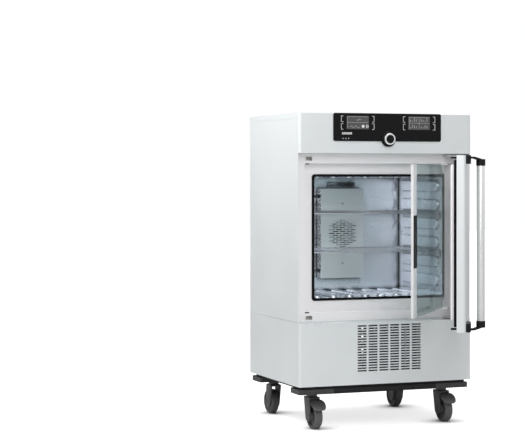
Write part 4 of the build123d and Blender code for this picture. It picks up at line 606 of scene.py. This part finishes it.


# Floor, light and camera
# A pale studio floor whose camera glow runs up into white away from the cabinet, with painted shade near it
# and painted contact shadows under its wheels, a large soft key on the left and a fill in front.
def white_world():
    """White where the camera, metal or glass sees it, and a plain grey light elsewhere."""
    world = bpy.data.worlds.new("studio_world")
    bpy.context.scene.world = world
    world.use_nodes = True
    tree = world.node_tree
    background = tree.nodes["Background"]
    background.inputs["Color"].default_value = (1, 1, 1, 1)
    path = tree.nodes.new("ShaderNodeLightPath")
    seen, strength = tree.nodes.new("ShaderNodeMath"), tree.nodes.new("ShaderNodeMapRange")
    seen.operation = "MAXIMUM"
    both = tree.nodes.new("ShaderNodeMath")
    both.operation = "MAXIMUM"
    tree.links.new(path.outputs["Is Camera Ray"], seen.inputs[0])
    tree.links.new(path.outputs["Is Glossy Ray"], seen.inputs[1])
    tree.links.new(seen.outputs[0], both.inputs[0])
    tree.links.new(path.outputs["Is Transmission Ray"], both.inputs[1])
    strength.inputs["To Min"].default_value = 0.29
    strength.inputs["To Max"].default_value = 1.0
    tree.links.new(both.outputs[0], strength.inputs["Value"])
    tree.links.new(strength.outputs["Result"], background.inputs["Strength"])


white_world()
FLOOR_SIZE = 40.0
bpy.ops.mesh.primitive_grid_add(x_subdivisions=4, y_subdivisions=4, size=FLOOR_SIZE, location=(0, 0, 0))
floor = bpy.context.object
floor.name = "studio_floor"
floor_material = bpy.data.materials.new("studio_floor")
floor_material.use_nodes = True
floor_tree = floor_material.node_tree
floor_shader = floor_tree.nodes["Principled BSDF"]
floor_shader.inputs["Base Color"].default_value = (0.9, 0.9, 0.9, 1)
floor_shader.inputs["Roughness"].default_value = 0.9
floor_shader.inputs["Specular IOR Level"].default_value = 0.0
floor_shader.inputs["Emission Color"].default_value = (1, 1, 1, 1)
floor_path = floor_tree.nodes.new("ShaderNodeLightPath")
floor_lift = floor_tree.nodes.new("ShaderNodeMath")
floor_lift.operation = "MULTIPLY"
floor_place = floor_tree.nodes.new("ShaderNodeTexCoord")
floor_reach = floor_tree.nodes.new("ShaderNodeVectorMath")
floor_reach.operation = "LENGTH"
# Painted shade: the floor's camera glow is cut to 0.74 within 0.6 m of the middle and rises to full by 2.2
# m.
painted_shade_falloff = floor_tree.nodes.new("ShaderNodeMapRange")
painted_shade_falloff.inputs["From Min"].default_value = 0.6
painted_shade_falloff.inputs["From Max"].default_value = 2.2
painted_shade_falloff.inputs["To Min"].default_value = 0.74
painted_shade_falloff.inputs["To Max"].default_value = 1.0
floor_tree.links.new(floor_place.outputs["Object"], floor_reach.inputs[0])
floor_tree.links.new(floor_reach.outputs["Value"], painted_shade_falloff.inputs["Value"])
# Painted contact shadows: ambient occlusion within 0.12 m takes the camera glow away under the wheels and
# the cabinet.
contact_shadow_ao = floor_tree.nodes.new("ShaderNodeAmbientOcclusion")
painted_contact_shadow = floor_tree.nodes.new("ShaderNodeMapRange")
contact_shadow_ao.inputs["Distance"].default_value = 0.12
painted_contact_shadow.inputs["From Min"].default_value = 0.5
painted_contact_shadow.inputs["From Max"].default_value = 0.97
painted_contact_shadow.inputs["To Min"].default_value = 0.0
shaded_floor_glow = floor_tree.nodes.new("ShaderNodeMath")
shaded_floor_glow.operation = "MULTIPLY"
floor_tree.links.new(contact_shadow_ao.outputs["AO"], painted_contact_shadow.inputs["Value"])
floor_tree.links.new(painted_contact_shadow.outputs["Result"], shaded_floor_glow.inputs[0])
floor_tree.links.new(painted_shade_falloff.outputs["Result"], shaded_floor_glow.inputs[1])
floor_tree.links.new(shaded_floor_glow.outputs[0], floor_lift.inputs[1])
floor_tree.links.new(floor_path.outputs["Is Camera Ray"], floor_lift.inputs[0])
floor_tree.links.new(floor_lift.outputs[0], floor_shader.inputs["Emission Strength"])
floor.data.materials.append(floor_material)


def area_lamp(name, place, target, power, size):
    """A soft square lamp at place that points at target."""
    bpy.ops.object.light_add(type="AREA", location=place)
    lamp = bpy.context.object
    lamp.name = name
    lamp.data.energy = power
    lamp.data.size = size
    lamp.rotation_euler = (Vector(target) - Vector(place)).to_track_quat("-Z", "Y").to_euler()
    return lamp


MIDDLE = (0.0, 0.0, 0.7)
area_lamp("key_lamp", (-1.6, 0.15, 2.05), (-0.37, 0.3, 1.15), 28, 1.0)
area_lamp("fill_lamp", (-0.5, -2.8, 2.6), (0.0, 0.0, 1.15), 37, 1.6)
area_lamp("chamber_lamp", (-0.9, -2.3, 1.2), (-0.1, 0.3, 0.85), 4, 0.8)
area_lamp("top_lamp", (0.0, -0.5, 4.2), MIDDLE, 40, 3.0)

bpy.ops.object.camera_add(location=(-2.80184, -5.93287, 1.00138), rotation=(radians(90), 0, radians(-20.93)))
camera = bpy.context.object
camera.data.lens = 114.26
camera.data.shift_y = -0.0927
bpy.context.scene.camera = camera
bpy.context.scene.view_settings.view_transform = "Standard"
